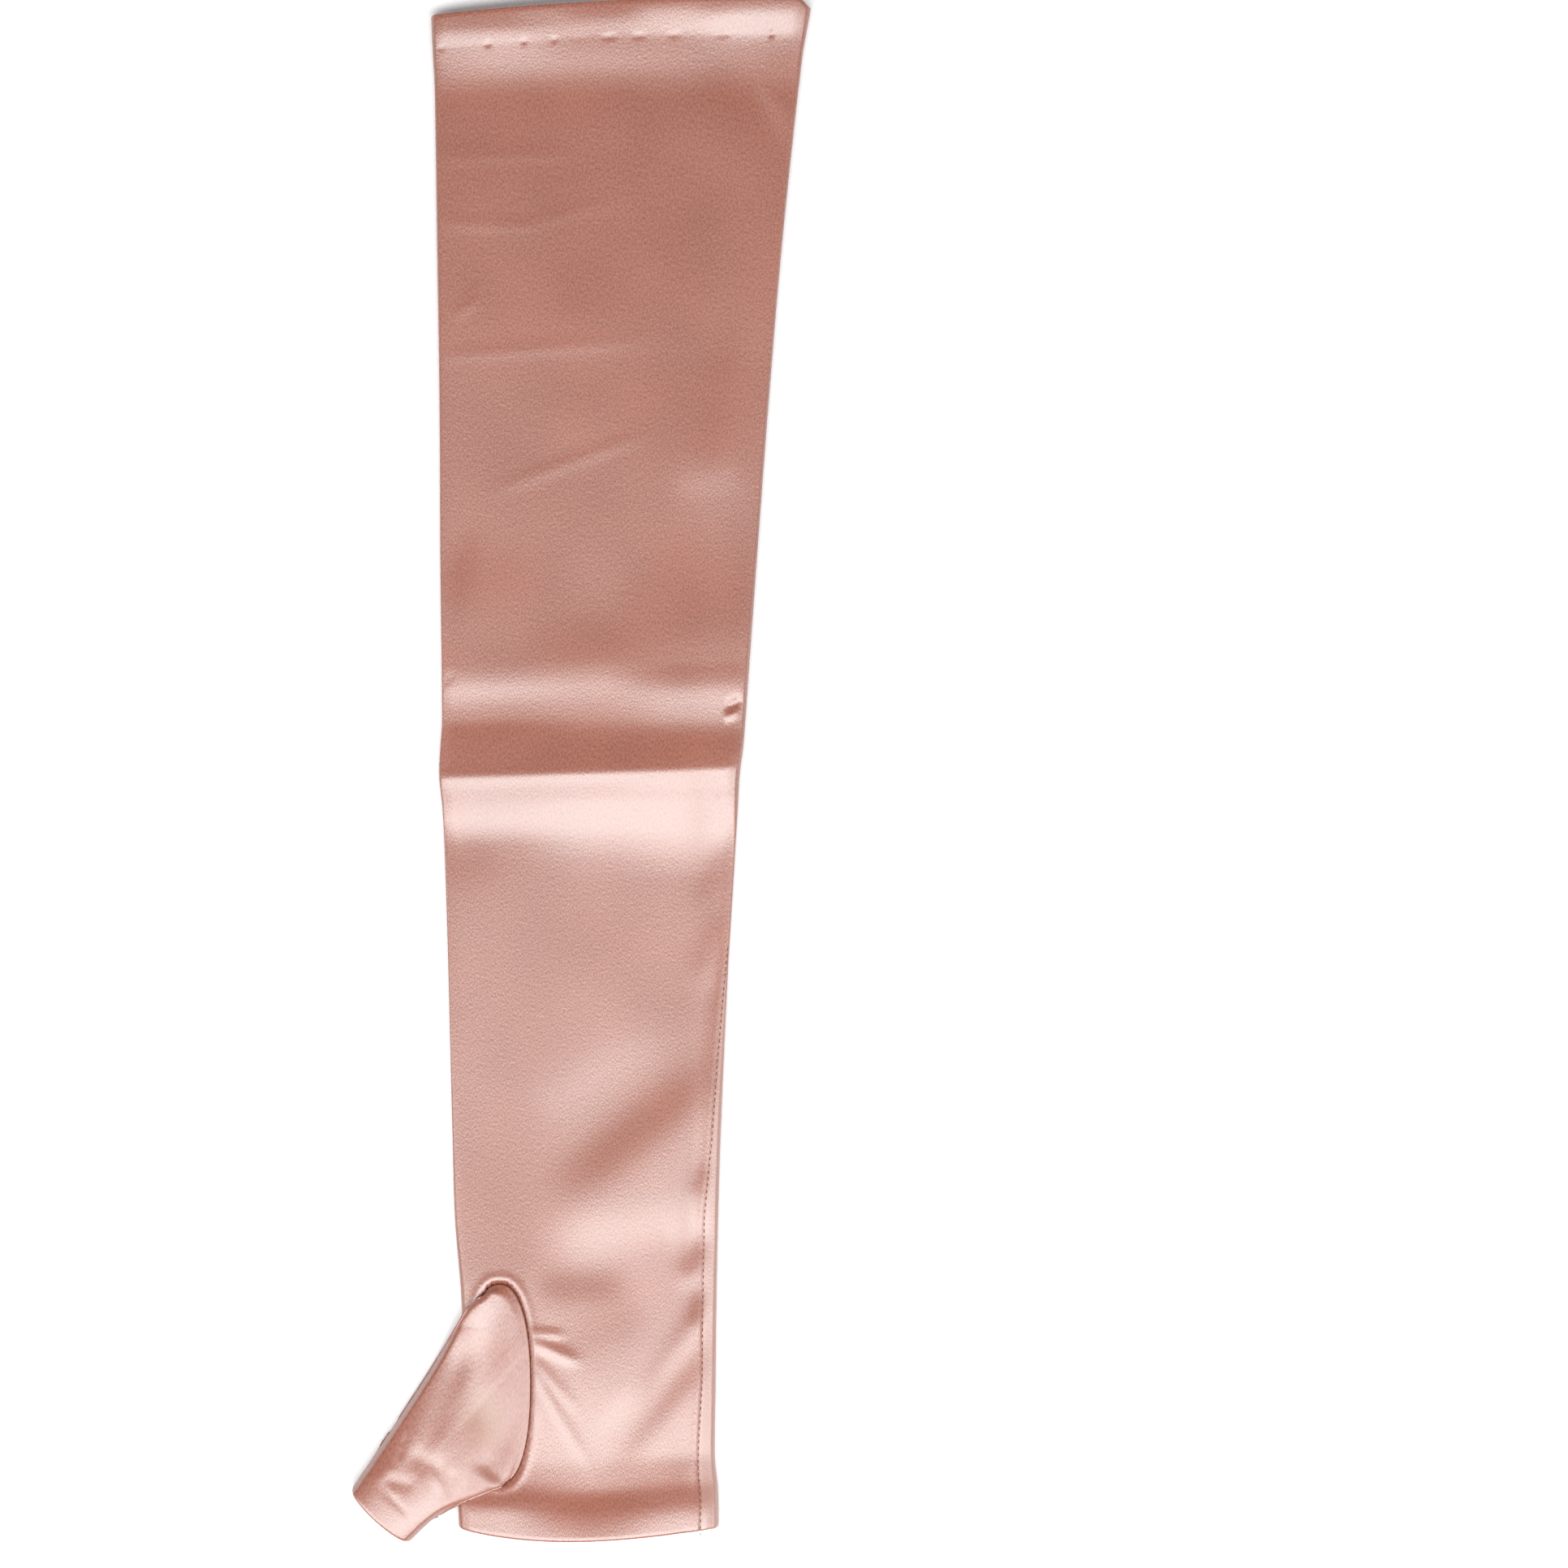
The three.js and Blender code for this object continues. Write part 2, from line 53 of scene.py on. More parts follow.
# %% The sleeve's sizes
MM = 0.001
ARM_LENGTH = 562.0
ARM_OPENING_WIDTH = 138.7
HAND_WIDTH = 95.0
HAND_MIDDLE = 2.2
OPENING_LEAN = 12.0
OPENING_DROP = 6.6
OPENING_CORNER = 3.6
HAND_BELLY = 4.6
SIDE_RADIUS, SIDE_REACH = 2.7, 1.4
CROWN_HEIGHT = 9.8
HALF_LENGTH = ARM_LENGTH / 2
END_EASE = 0.08

# at, flare, lean, crown: shares of the length, of the widening, of the lean, of the crown
SECTIONS = np.array([
    (0, 0, 0.02, 1), (0.025, 0, 0, 1), (0.05, -0.054, 0, 0.94), (0.1, -0.061, 0.037, 0.98),
    (0.154, -0.041, 0.025, 0.97), (0.207, 0.027, -0.049, 0.96), (0.26, 0.068, -0.049, 0.95),
    (0.366, 0.163, 0, 0.95), (0.419, 0.224, 0.037, 0.96), (0.472, 0.293, 0.062, 0.98),
    (0.4955, 0.34, 0.037, 1), (0.514, 0.361, 0.111, 0.98), (0.531, 0.364, 0.168, 0.96),
    (0.63, 0.469, 0.309, 0.94), (0.736, 0.578, 0.481, 0.94), (0.842, 0.714, 0.654, 0.94),
    (0.948, 0.878, 0.877, 0.95), (0.972, 0.925, 0.914, 1), (1, 1, 1, 1),
])
FLARE, LEAN, CROWN = 1, 2, 3


# %% Read the table of sections
def smoothstep(value, low, high):
    share = np.clip((value - low) / (high - low), 0, 1)
    return share * share * (3 - 2 * share)


def section(column, at):
    """A value of the sections' table at a share of the length, eased between its rows."""
    knots, values = SECTIONS[:, 0], SECTIONS[:, column]
    last = len(knots) - 1
    at = np.clip(at, 0, 1)
    row = np.clip(np.searchsorted(knots, at, side="right"), 1, last)
    span = knots[row] - knots[row - 1]
    t = (at - knots[row - 1]) / span

    def slope(k):
        low, high = np.clip(k - 1, 0, last), np.clip(k + 1, 0, last)
        return (values[high] - values[low]) / (knots[high] - knots[low]) * span

    ease = t * t * (3 - 2 * t)
    bend = t * (1 - t) * ((1 - t) * slope(row - 1) - t * slope(row))
    return values[row - 1] * (1 - ease) + values[row] * ease + bend


def sleeve_width(at):
    return HAND_WIDTH + section(FLARE, at) * (ARM_OPENING_WIDTH - HAND_WIDTH)


def sleeve_left(at):
    return HAND_MIDDLE + section(LEAN, at) * OPENING_LEAN - sleeve_width(at) / 2


def edge_shift(at, u):
    """How far a point lies above its section's level line: the openings aren't square."""
    u = np.clip(u, 0, 1)
    belly = HAND_BELLY * (1 - np.sin(np.pi * u ** 0.8))
    drop = OPENING_DROP * (1 - u) ** 2 + OPENING_CORNER * smoothstep(u, 0.95, 1) ** 2
    near_hand = 1 - smoothstep(at, 0, END_EASE)
    near_opening = smoothstep(at, 1 - END_EASE, 1)
    return belly * near_hand - drop * near_opening


def place(at, u):
    x = sleeve_left(at) + u * sleeve_width(at)
    return x, at * ARM_LENGTH - HALF_LENGTH + edge_shift(at, u)


def shares_at(x, y):
    """The shares of length and width under a place seen from above."""
    at = (y + HALF_LENGTH) / ARM_LENGTH
    for _ in range(4):
        held = np.clip(at, 0, 1)
        u = (x - sleeve_left(held)) / sleeve_width(held)
        at = (y + HALF_LENGTH - edge_shift(at, u)) / ARM_LENGTH
    return np.clip(at, 0, 1), np.clip(u, 0, 1)


print("width at the hand and the arm, mm:", sleeve_width(np.array([0.0, 1.0])))

# %% [markdown]
# ## Folds of the satin
# Satin shows its folds by brightness: a slope of a few degrees towards the light turns it
# nearly white, and the same slope away from it turns it brown. So the folds are given as
# falls, the degrees by which the cloth falls towards the hand. A table holds the long waves
# that cross the sleeve, each with its fall near the left side, in the middle and near the
# right side. The height is the sum of the falls along each column of cloth, with what is
# left over taken out evenly. Soft patches add to it in one place each, and the height they
# make dies away beyond them, so that a narrow patch leaves no groove along the whole column.

# %% The long waves across the sleeve
# y in mm, and the fall at the left, in the middle and at the right, in degrees
WAVES = np.array([
    (281, 1, 1, 2), (277, 3, 2, 3), (274.5, 4, 4.5, 6), (271.5, 5.5, 8.5, 11),
    (269, 11, 10, 13), (266.5, 12.5, 7, 9.5), (263, 8.5, 5, 5), (257, 6, 4.5, 4),
    (252, 4.5, 3.5, 3.5), (248, 1.2, 1.2, 2.5), (245, -1, -1.5, 0), (241, -1, -2, -1),
    (232, 0, 0.5, 0.5), (215, 0, 0, 0), (200, 1, 0, -0.5), (170, 0.5, -0.5, 0),
    (152, 1.5, 1.5, 0.5), (138, 1.5, 0, -0.5),
    (116, 1, 1, 0), (100, 1, 0.5, 1), (86, 1, 0.5, 0.5), (72, -1, 1, -1.5), (56, 0, -0.5, -3),
    (48, 0, -3, -2), (42, -1, -3, -0.5), (38, 0, 0, -0.5), (35, 2, 2, -3), (30, 6, 4.5, 0),
    (27, 5, 4, 4), (23, 2, 2.5, 5), (19, 0, 1, 3.5), (16, -6, -1, 2), (12, -5.5, -4.5, -3.5),
    (8, -5, -6.5, -8), (4, -4.5, -7, -8), (0, -6.5, -6.5, -6.5), (-0.8, -4, -4, -4),
    (-2.6, 8, 9, 8), (-4, 8.5, 9.5, 9), (-7, 5, 5.5, 9.5), (-10, 5, 5.5, 6.5), (-14, 7.5, 9.5, 9),
    (-17, 9.5, 10, 10.5), (-20, 7, 10, 10.5), (-23, 4, 7.5, 9.5), (-27, 0.5, 4.5, 6.5),
    (-34, -0.5, 1.5, 3), (-42, -0.2, 0, 0), (-64, -0.2, -1, -0.5), (-88, -0.5, -0.5, -1.5),
    (-120, -0.8, -0.5, -0.5), (-150, -2, -0.5, 0), (-180, -3, -0.5, -1), (-200, 0, -1.5, -1),
    (-235, 0, -0.5, -0.5), (-250, 0, 0.5, 0.5), (-254, -0.8, 0, -3), (-259, -1.5, 0.5, -2),
    (-262, -7, -0.5, -4), (-264, -12, -4, -9), (-266, -14, -12, -11), (-268, -7, -16, -9.5),
    (-271, -2, -13, -6), (-274, -2, -9, -2), (-278, -1, -6, 0), (-281, 0, -4, 1),
])[::-1]
# Where the three columns lie, in half widths of the hand from its middle
WAVE_COLUMNS = (-0.68, 0.04, 0.76)
# The waves' slope to the right as a share; their lift and the patches' reach in mm
WAVE_SLANT, WAVE_LIFT, PATCH_REACH = 0.033, 2.5, 60.0

# %% The soft patches of the sleeve
# name, x, y, direction in degrees from +X, half length, half width in mm, fall in degrees
PATCHES = [
    ("arm corner light", 63, 272, 3, 17, 7, 5),
    ("hem band light", 32, 276, 2, 13, 3, 4.5),
    ("hem band light, left", -14, 275, 2, 11, 3, 3),
    ("arm edge light", 70, 240, -52, 10, 2.4, 5.5),
    ("arm corner shade", 58, 240, -40, 19, 11, -2.5),
    ("side shade, upper", 50, 133, 84, 26, 7, -2),
    ("side light", 46, 105, 10, 12, 8, 2),
    ("left shade", -43, 72, 80, 14, 5, -2),
    ("forearm dark patch", -42, -35, 30, 11, 11, -1.5),
    ("side shade, below the fold", 48, -38, 70, 13, 5.5, -3),
    ("side shade, forearm", 46.5, -63, 75, 12, 5.5, -3),
    ("side shade, wrist", 46, -96, 84, 18, 4.5, -1.8),
    ("palm light by the seam", 39, -168, 20, 9, 5, 2.5),
    ("pale wrist", 5, -112, 30, 26, 9, 1.5),
    ("wrist shade", 20, -132, 38, 34, 9, -6),
    ("palm light", 20, -167, 12, 28, 9, 3.5),
    ("palm shade by the thumb", 0, -189, 0, 15, 6.5, -4),
    ("palm shade, low", 6, -207, 30, 18, 8, -1.5),
    ("drag shade 1", 33, -211, 52, 22, 4, -4.5),
    ("drag light 1", 40, -207, 54, 20, 3.5, 3),
    ("drag shade 2", 31, -232, 50, 25, 4.5, -4.5),
    ("drag light 2", 22, -224, 50, 24, 4, 2.5),
    ("seam shade 1", 43, -150, 60, 6, 3.5, -4),
    ("seam shade 2", 41, -179, 55, 7, 4, -4.5),
    ("seam light", 40, -187, 30, 6, 3, 2),
    ("seam shade 3", 41.5, -197, 80, 6, 3.5, -4),
]

# %% Sum the falls into heights
FIELD_HALF_WIDTH, FIELD_COLUMNS, FIELD_ROWS = 90.0, 121, 1125
field_x = np.linspace(-FIELD_HALF_WIDTH, FIELD_HALF_WIDTH, FIELD_COLUMNS)
field_y = np.linspace(-HALF_LENGTH, HALF_LENGTH, FIELD_ROWS)
field_step = field_y[1] - field_y[0]


def patch_share(x, y, at_x, at_y, turn, length, width):
    """A patch's share at a place: one at its middle, dying away along and across it."""
    cos, sin = math.cos(math.radians(turn)), math.sin(math.radians(turn))
    along = (x - at_x) * cos + (y - at_y) * sin
    across = (y - at_y) * cos - (x - at_x) * sin
    return np.exp(-(along / length) ** 4 - (across / width) ** 2)


def summed(table, x, y):
    """The last column of a table of patches, summed at a place by their shares."""
    total = np.zeros_like(x)
    for _, *patch, most in table:
        total += most * patch_share(x, y, *patch)
    return total


def wave_fall_at(x, y):
    """The fall of the long waves, blended between the table's three columns."""
    level = y - WAVE_SLANT * x
    columns = [np.interp(level, WAVES[:, 0], WAVES[:, k]) for k in (1, 2, 3)]
    side = np.clip(2 * (x - HAND_MIDDLE) / HAND_WIDTH, WAVE_COLUMNS[0], WAVE_COLUMNS[2])
    left = smoothstep(-side, -WAVE_COLUMNS[1], -WAVE_COLUMNS[0])
    right = smoothstep(side, WAVE_COLUMNS[1], WAVE_COLUMNS[2])
    return columns[0] * left + columns[1] * (1 - left - right) + columns[2] * right


def rises(fall):
    """The rise from each point of a column to the next."""
    slopes = np.tan(np.radians(fall))
    return (slopes[:, 1:] + slopes[:, :-1]) / 2 * field_step


def dying_sum(steps, reach):
    """Rises summed along each column, with the sum fading over the reach."""
    kept = math.exp(-field_step / reach)
    height = np.zeros((steps.shape[0], steps.shape[1] + 1))
    for k in range(steps.shape[1]):
        height[:, k + 1] = height[:, k] * kept + steps[:, k]
    return height


# %% The field of heights
places = np.meshgrid(field_x, field_y, indexing="ij")
wave_rises = rises(wave_fall_at(*places))
field = np.concatenate([np.zeros((len(field_x), 1)), np.cumsum(wave_rises, axis=1)], axis=1)
left_over = np.degrees(field[:, -1] / ARM_LENGTH)
field -= field[:, -1:] * (field_y - field_y[0]) / ARM_LENGTH
patch_rises = rises(summed(PATCHES, *places))
upward = dying_sum(patch_rises, PATCH_REACH)
downward = -dying_sum(patch_rises[:, ::-1], PATCH_REACH)[:, ::-1]
field += (upward + downward) / 2 + WAVE_LIFT
print("waves, mm:", field.min().round(1), field.max().round(1),
      "left over, degrees:", left_over.min().round(2), left_over.max().round(2))


def wave_height_at(x, y):
    """The waves' height at places seen from above, read between the field's points."""
    i = np.clip((x - field_x[0]) / (field_x[1] - field_x[0]), 0, len(field_x) - 1.001)
    j = np.clip((y - field_y[0]) / field_step, 0, len(field_y) - 1.001)
    i0, j0 = i.astype(int), j.astype(int)
    i, j = i - i0, j - j0
    near = field[i0, j0] * (1 - j) + field[i0, j0 + 1] * j
    far = field[i0 + 1, j0] * (1 - j) + field[i0 + 1, j0 + 1] * j
    return near * (1 - i) + far * i


# %% The small dents of the sleeve
# name, x, y, direction in degrees from +X, half length, half width, height, all in mm
DENTS = [
    ("palm pull 1", -13, -206, -6, 6, 1.4, 0.35),
    ("palm pull 2", -10, -212.5, -24, 9, 2.2, 0.5),
    ("palm pull 3", -8, -236, -60, 18, 2.0, 0.28),
    ("palm pull 4", -10, -224, -50, 12, 2.0, 0.22),
    ("upper crease 1", -30, 223.5, 1, 24, 2.0, 0.13),
    ("upper crease 2", -34, 198.5, -3, 17, 2.0, 0.14),
    ("upper crease 2, right", -4, 202.5, 14, 17, 2.0, 0.1),
    ("upper crease 3", -18, 152.7, 4, 36, 2.0, 0.11),
    ("forearm crease", -5, 111.3, 20, 27, 2.2, 0.13),
    ("left crease", -42, 168.5, 31, 5.5, 1.8, 0.15),
    ("snag", 36, 213.5, 60, 1.6, 0.7, 0.35),
    ("side pucker", 55.5, 23.5, 32, 3, 1.6, -0.7),
    ("side pucker light", 54.5, 19.8, 25, 2.6, 1.2, 0.5),
    ("side dimple", 50, -7, 80, 4, 1.6, -0.12),
    ("left pucker", -50, 32, 40, 4, 1.6, -0.15),
]
print("folds: waves", len(WAVES), "patches", len(PATCHES), "dents", len(DENTS))

# %% [markdown]
# ## The oval seam and the side seam
# Two seams show. The thumb's seam is an oval: the sleeve's cloth rolls down into a narrow
# ditch round it. The side seam starts near the right edge at the hand and leaves over the
# edge half way up; the cloth beside it makes a thin bright ridge. A bump map could draw the
# ditches, but the oval one casts a true shadow, so all of them are part of the mesh.

# %% The oval seam
HOLE_WIDTH, HOLE_LENGTH = 22.6, 72.5
HOLE_ABOVE_HEM, HOLE_FROM_SIDE = 20.5, 2.4
OVAL_POWER, ANGLE_STEP, TINY = 2.3, 0.02, 1e-9
HOLE_Y = HOLE_ABOVE_HEM + HOLE_LENGTH / 2 - HALF_LENGTH
HOLE_AT = (HOLE_Y + HALF_LENGTH) / ARM_LENGTH
HOLE_X = float(sleeve_left(HOLE_AT)) + HOLE_FROM_SIDE + HOLE_WIDTH / 2


def oval_plain(angle):
    """The oval seam's plan, between an ellipse and a rounded box."""
    c, s = np.cos(angle), np.sin(angle)
    x = np.sign(c) * np.abs(c) ** (2 / OVAL_POWER) * HOLE_WIDTH / 2
    y = np.sign(s) * np.abs(s) ** (2 / OVAL_POWER) * HOLE_LENGTH / 2
    return np.stack([HOLE_X + x, HOLE_Y + y], axis=-1)


def oval_point(angle, pulled_in):
    """A point of the oval, moved inwards square to its line."""
    along = oval_plain(angle + ANGLE_STEP) - oval_plain(angle - ANGLE_STEP)
    along /= np.linalg.norm(along, axis=-1, keepdims=True)
    outward = np.stack([along[..., 1], -along[..., 0]], axis=-1)
    return oval_plain(angle) - outward * pulled_in


def oval_distance(x, y):
    """Roughly how far a place lies outside the oval, in mm; negative inside."""
    a, b, p = HOLE_WIDTH / 2, HOLE_LENGTH / 2, OVAL_POWER
    px, py = np.abs(x - HOLE_X) / a + TINY, np.abs(y - HOLE_Y) / b + TINY
    reach = (px ** p + py ** p) ** (1 / p)
    grade = np.hypot((px / reach) ** (p - 1) / a, (py / reach) ** (p - 1) / b)
    return (reach - 1) / grade


print("oval seam, middle in mm:", round(HOLE_X, 1), round(HOLE_Y, 1))

# %% The side seam
# y, and the distance of the seam from the sleeve's right edge, both in mm
SEAM_PATH = np.array([(-281, 6.6), (-262, 6.4), (-223, 4.9), (-164, 5.0), (-135, 3.1),
                      (-105, 2.2), (-75, 1.0), (-60, 0.3)])
SEAM_FADES = (-85, -60)
# Distance from the seam's line, half width and height, in mm
SEAM_RIDGE, SEAM_DITCH = (1.4, 1.2, 0.25), (0.0, 0.5, -0.22)
SEAM_HOLLOW, SEAM_PUCKER = (5.5, 3.0, -0.3), (1.2, 1.2, 0.02)
PUCKER_PITCH, PUCKER_DRIFT = 3.4, 9.0
OVAL_DITCH, OVAL_RIM = (0.0, 1.1, -0.7), (2.0, 1.3, 0.30)
OVAL_RIPPLE, RIPPLE_REACH, RIPPLES = 0.07, 3.0, 17
# How far the ripples stray from an even beat, how often, and where they start, in mm
RIPPLE_STRAY, RIPPLE_STRAYS, RIPPLE_STARTS = 1.5, 5, (0.2, 2)


def beside_line(distance, centre, half_width, height):
    """The height of a ridge or a ditch that runs beside a line."""
    return height * np.exp(-((distance - centre) / half_width) ** 2)


# %% The relief beside the two seams
def seam_distance(x, y, right):
    """How far left of the side seam a place of the upper layer lies, in mm."""
    from_edge = np.interp(y, SEAM_PATH[:, 0], SEAM_PATH[:, 1])
    return right - from_edge - x


def seam_relief(x, y, right):
    """The ridge, the ditch and the hollow beside the side seam, and its fine puckers."""
    beside = seam_distance(x, y, right)
    ridge, ditch, hollow, pucker = [
        beside_line(beside, *row) for row in (SEAM_RIDGE, SEAM_DITCH, SEAM_HOLLOW, SEAM_PUCKER)]
    beat = np.sin(y * 2 * np.pi / PUCKER_PITCH + 2 * np.sin(y / PUCKER_DRIFT))
    return (ridge + ditch + hollow + pucker * beat) * (1 - smoothstep(y, *SEAM_FADES))


def oval_relief(x, y):
    """The ditch and the rim round the thumb's seam, with the ripples of its gathers."""
    out = oval_distance(x, y)
    beyond = np.maximum(out, 0)
    angle = np.arctan2((y - HOLE_Y) / HOLE_LENGTH, (x - HOLE_X) / HOLE_WIDTH)
    ripple = OVAL_RIPPLE * np.sin(angle * RIPPLES + RIPPLE_STRAY * np.sin(angle * RIPPLE_STRAYS))
    ripple = ripple * np.exp(-beyond / RIPPLE_REACH) * smoothstep(out, *RIPPLE_STARTS)
    return beside_line(beyond, *OVAL_DITCH) + beside_line(out, *OVAL_RIM) + ripple


# %% The height of the upper layer
ARM_HEM, HAND_HEM, THUMB_HEM = 13.0, 12.0, 7.5
HEM_LINE, HEM_LINE_WIDTH = 0.025, 0.9
# The pitch and the depth of the dimples, in mm
HAND_DIMPLES, ARM_DIMPLES, DIMPLE_POWER = (11.0, 0.05), (13.0, 0.45), 60
DIMPLE_STRAY, DIMPLE_STRAY_LENGTH, HEM_LINE_FADES = 1.3, 17.0, (0.0, 0.05)
CROWN_POWER, EDGE_SHARE = 2.6, 0.65
# From the side, in mm: where folds are full, where they begin, where seams are full
FOLDS_FULL, FOLDS_BEGIN, SEAMS_FULL = 5, (-0.5, 1.3), 2


def hem_relief(at, u, x):
    """The stitched line of each hem is drawn in, with a dimple at every blind stitch."""
    from_hand = at * ARM_LENGTH - HAND_HEM
    from_arm = (1 - at) * ARM_LENGTH - ARM_HEM
    relief = np.zeros_like(x)
    for away, (pitch, depth) in ((from_hand, HAND_DIMPLES), (from_arm, ARM_DIMPLES)):
        beat = np.cos(x * np.pi / pitch + DIMPLE_STRAY * np.sin(x / DIMPLE_STRAY_LENGTH))
        depth_here = depth * np.abs(beat) ** DIMPLE_POWER + HEM_LINE
        relief -= beside_line(away, 0.0, HEM_LINE_WIDTH, depth_here)
    return relief * smoothstep(np.minimum(u, 1 - u), *HEM_LINE_FADES)


def top_height(at, u):
    """The height of the upper layer at a share of the length and of the width, in mm."""
    width = sleeve_width(at)
    x, y = place(at, u)
    from_side = np.minimum(u, 1 - u) * width
    share = np.clip(2 * from_side / width, 0, 1)
    crown = section(CROWN, at) * CROWN_HEIGHT - 2 * SIDE_RADIUS
    side = 1 - np.maximum(0, 1 - from_side / SIDE_REACH) ** 2
    fade = EDGE_SHARE + (1 - EDGE_SHARE) * smoothstep(from_side, 0, FOLDS_FULL)
    fade = fade * smoothstep(from_side, *FOLDS_BEGIN)
    folds = (wave_height_at(x, y) + summed(DENTS, x, y)) * fade
    small = (seam_relief(x, y, sleeve_left(at) + width) + hem_relief(at, u, x)
             + oval_relief(x, y)) * smoothstep(from_side, 0, SEAMS_FULL)
    body = SIDE_RADIUS * (1 + np.sqrt(np.maximum(0, side)))
    return body + crown * (1 - (1 - share) ** CROWN_POWER) + folds + small


def top_height_at(x, y):
    """The height of the upper layer at a place in mm."""
    return top_height(*shares_at(x, y))


print("height in the middle, mm:", float(top_height_at(np.zeros(1), np.zeros(1))[0].round(1)))

# %% [markdown]
# ## Cloth from a grid of points
# Each piece of cloth is one grid: rows go along the piece and columns round it. At an
# opening the grid turns through half a circle and runs back inside as the hem, as the real
# cloth is turned in. Solidify then gives the sheet its thickness on the inner side, which
# keeps the outside exactly where the tables put it.


# %% Grid tools
HEM_TURN_STEPS = 5


def grid_normals(grid):
    """Unit normals of a closed grid of points, from its steps along and across."""
    across = np.roll(grid, -1, axis=1) - np.roll(grid, 1, axis=1)
    along = np.gradient(grid, axis=0)
    normal = np.cross(across, along)
    return normal / np.maximum(np.linalg.norm(normal, axis=2, keepdims=True), TINY)


def turned_in(end_rows, radius, gap):
    """Rows that fold an end inwards: end_rows lead from the hem's depth to the edge."""
    normal = grid_normals(end_rows)
    edge, out = end_rows[-1], end_rows[-1] - end_rows[-2]
    out = out / np.linalg.norm(out, axis=1, keepdims=True)
    turn = [edge - normal[-1] * radius * (1 - math.cos(a)) + out * radius * math.sin(a)
            for a in np.linspace(0, math.pi, HEM_TURN_STEPS + 1)[1:-1]]
    back = end_rows[::-1] - normal[::-1] * (2 * radius + gap)
    return np.concatenate([np.array(turn), back])


def measure_uv(grid):
    """U and V of each point in metres of cloth: round the piece, and along it."""
    steps = np.linalg.norm(np.diff(np.concatenate([grid, grid[:, :1]], axis=1), axis=1), axis=2)
    middle = len(grid) // 2
    u = np.concatenate([[0], np.cumsum(steps[middle])])
    along = np.linalg.norm(np.diff(grid, axis=0), axis=2).mean(axis=1)
    v = np.concatenate([[0], np.cumsum(along)])
    return u * MM, v * MM


def grid_faces(rows, columns, across):
    """The corners of a grid's faces, across so many columns, and each face's row and column."""
    k, j = np.meshgrid(np.arange(rows - 1), np.arange(across), indexing="ij")
    i = (j + 1) % columns
    faces = np.stack([k * columns + j, k * columns + i, (k + 1) * columns + i,
                      (k + 1) * columns + j], axis=-1)
    return faces.reshape(-1, 4), k, j


# %% From a grid to an object
def cloth_object(name, points, faces, uv):
    """An object from points in metres, faces, and a UV pair for each of their corners."""
    mesh = bpy.data.meshes.new(name)
    mesh.from_pydata(points.tolist(), [], faces.tolist())
    layer = mesh.uv_layers.new(name="cloth")
    layer.data.foreach_set("uv", uv.ravel().astype(np.float32))
    mesh.polygons.foreach_set("use_smooth", [True] * len(mesh.polygons))
    piece = bpy.data.objects.new(name, mesh)
    bpy.context.scene.collection.objects.link(piece)
    return piece


def sheet_object(name, grid, drop=None):
    """A tube of cloth from a closed grid in mm. drop marks the points that are cut out."""
    rows, columns = grid.shape[:2]
    faces, k, j = grid_faces(rows, columns, columns)
    u, v = measure_uv(grid)
    corner_u = np.stack([u[j], u[j + 1], u[j + 1], u[j]], axis=-1).reshape(-1, 4)
    corner_v = np.stack([v[k], v[k], v[k + 1], v[k + 1]], axis=-1).reshape(-1, 4)
    points = grid.reshape(-1, 3) * MM
    if drop is not None:
        keep = ~drop[faces].any(axis=1)
        faces, corner_u, corner_v = faces[keep], corner_u[keep], corner_v[keep]
    used = np.unique(faces)
    renumber = np.full(len(points), -1)
    renumber[used] = np.arange(len(used))
    uv = np.stack([corner_u.ravel(), corner_v.ravel()], axis=-1)
    return cloth_object(name, points[used], renumber[faces], uv)


def applied(piece, modifier):
    """Turns a modifier's result into the piece's own plain mesh."""
    graph = bpy.context.evaluated_depsgraph_get()
    made = bpy.data.meshes.new_from_object(piece.evaluated_get(graph))
    piece.modifiers.remove(modifier)
    piece.data = made
    return made


def thicken(piece, thickness):
    """Gives the sheet its thickness on the inner side and applies it."""
    solidify = piece.modifiers.new("thickness", "SOLIDIFY")
    solidify.thickness = thickness * MM
    solidify.offset = -1
    thick = applied(piece, solidify)
    thick.calc_loop_triangles()
    print(piece.name, len(thick.vertices), "points", len(thick.loop_triangles), "triangles")
    return piece


# %% [markdown]
# ## The sleeve
# Its columns run over the upper layer from left to right, round the right fold, back under
# the flat lower layer and round the left fold. Rows are close together where the cloth is
# busy: at the cross fold, round the thumb, at the creases and at the hems. An even grid
# would need several times as many faces for the same folds.

# %% The sleeve's grid
FOLD_STEPS, BACK_STEPS = 5, 18
# Each row: a share of the width or the length, and the number of steps that lead to it
COLUMN_RUNS = [(0.0, 0), (0.38, 58), (0.9, 38), (1.0, 24)]
ROW_RUNS = [(0.0, 2), (0.018, 8), (0.026, 5), (0.185, 66), (0.44, 63), (0.475, 20),
            (0.51, 28), (0.57, 24), (0.675, 13), (0.72, 13), (0.76, 4), (0.776, 5),
            (0.787, 2), (0.805, 5), (0.845, 4), (0.873, 8), (0.888, 2), (0.902, 4),
            (0.93, 3), (0.972, 10), (0.981, 5), (1.0, 8)]
CLOTH = 0.5
HEM_RADIUS, HEM_GAP, HEM_STEPS = 0.75, 0.15, 6


def spread(run_table):
    """The stops of a table of runs."""
    stops = [run_table[0][0]]
    for (start, _), (end, steps) in zip(run_table, run_table[1:]):
        stops.extend(np.linspace(start, end, steps + 1)[1:])
    return np.array(stops)


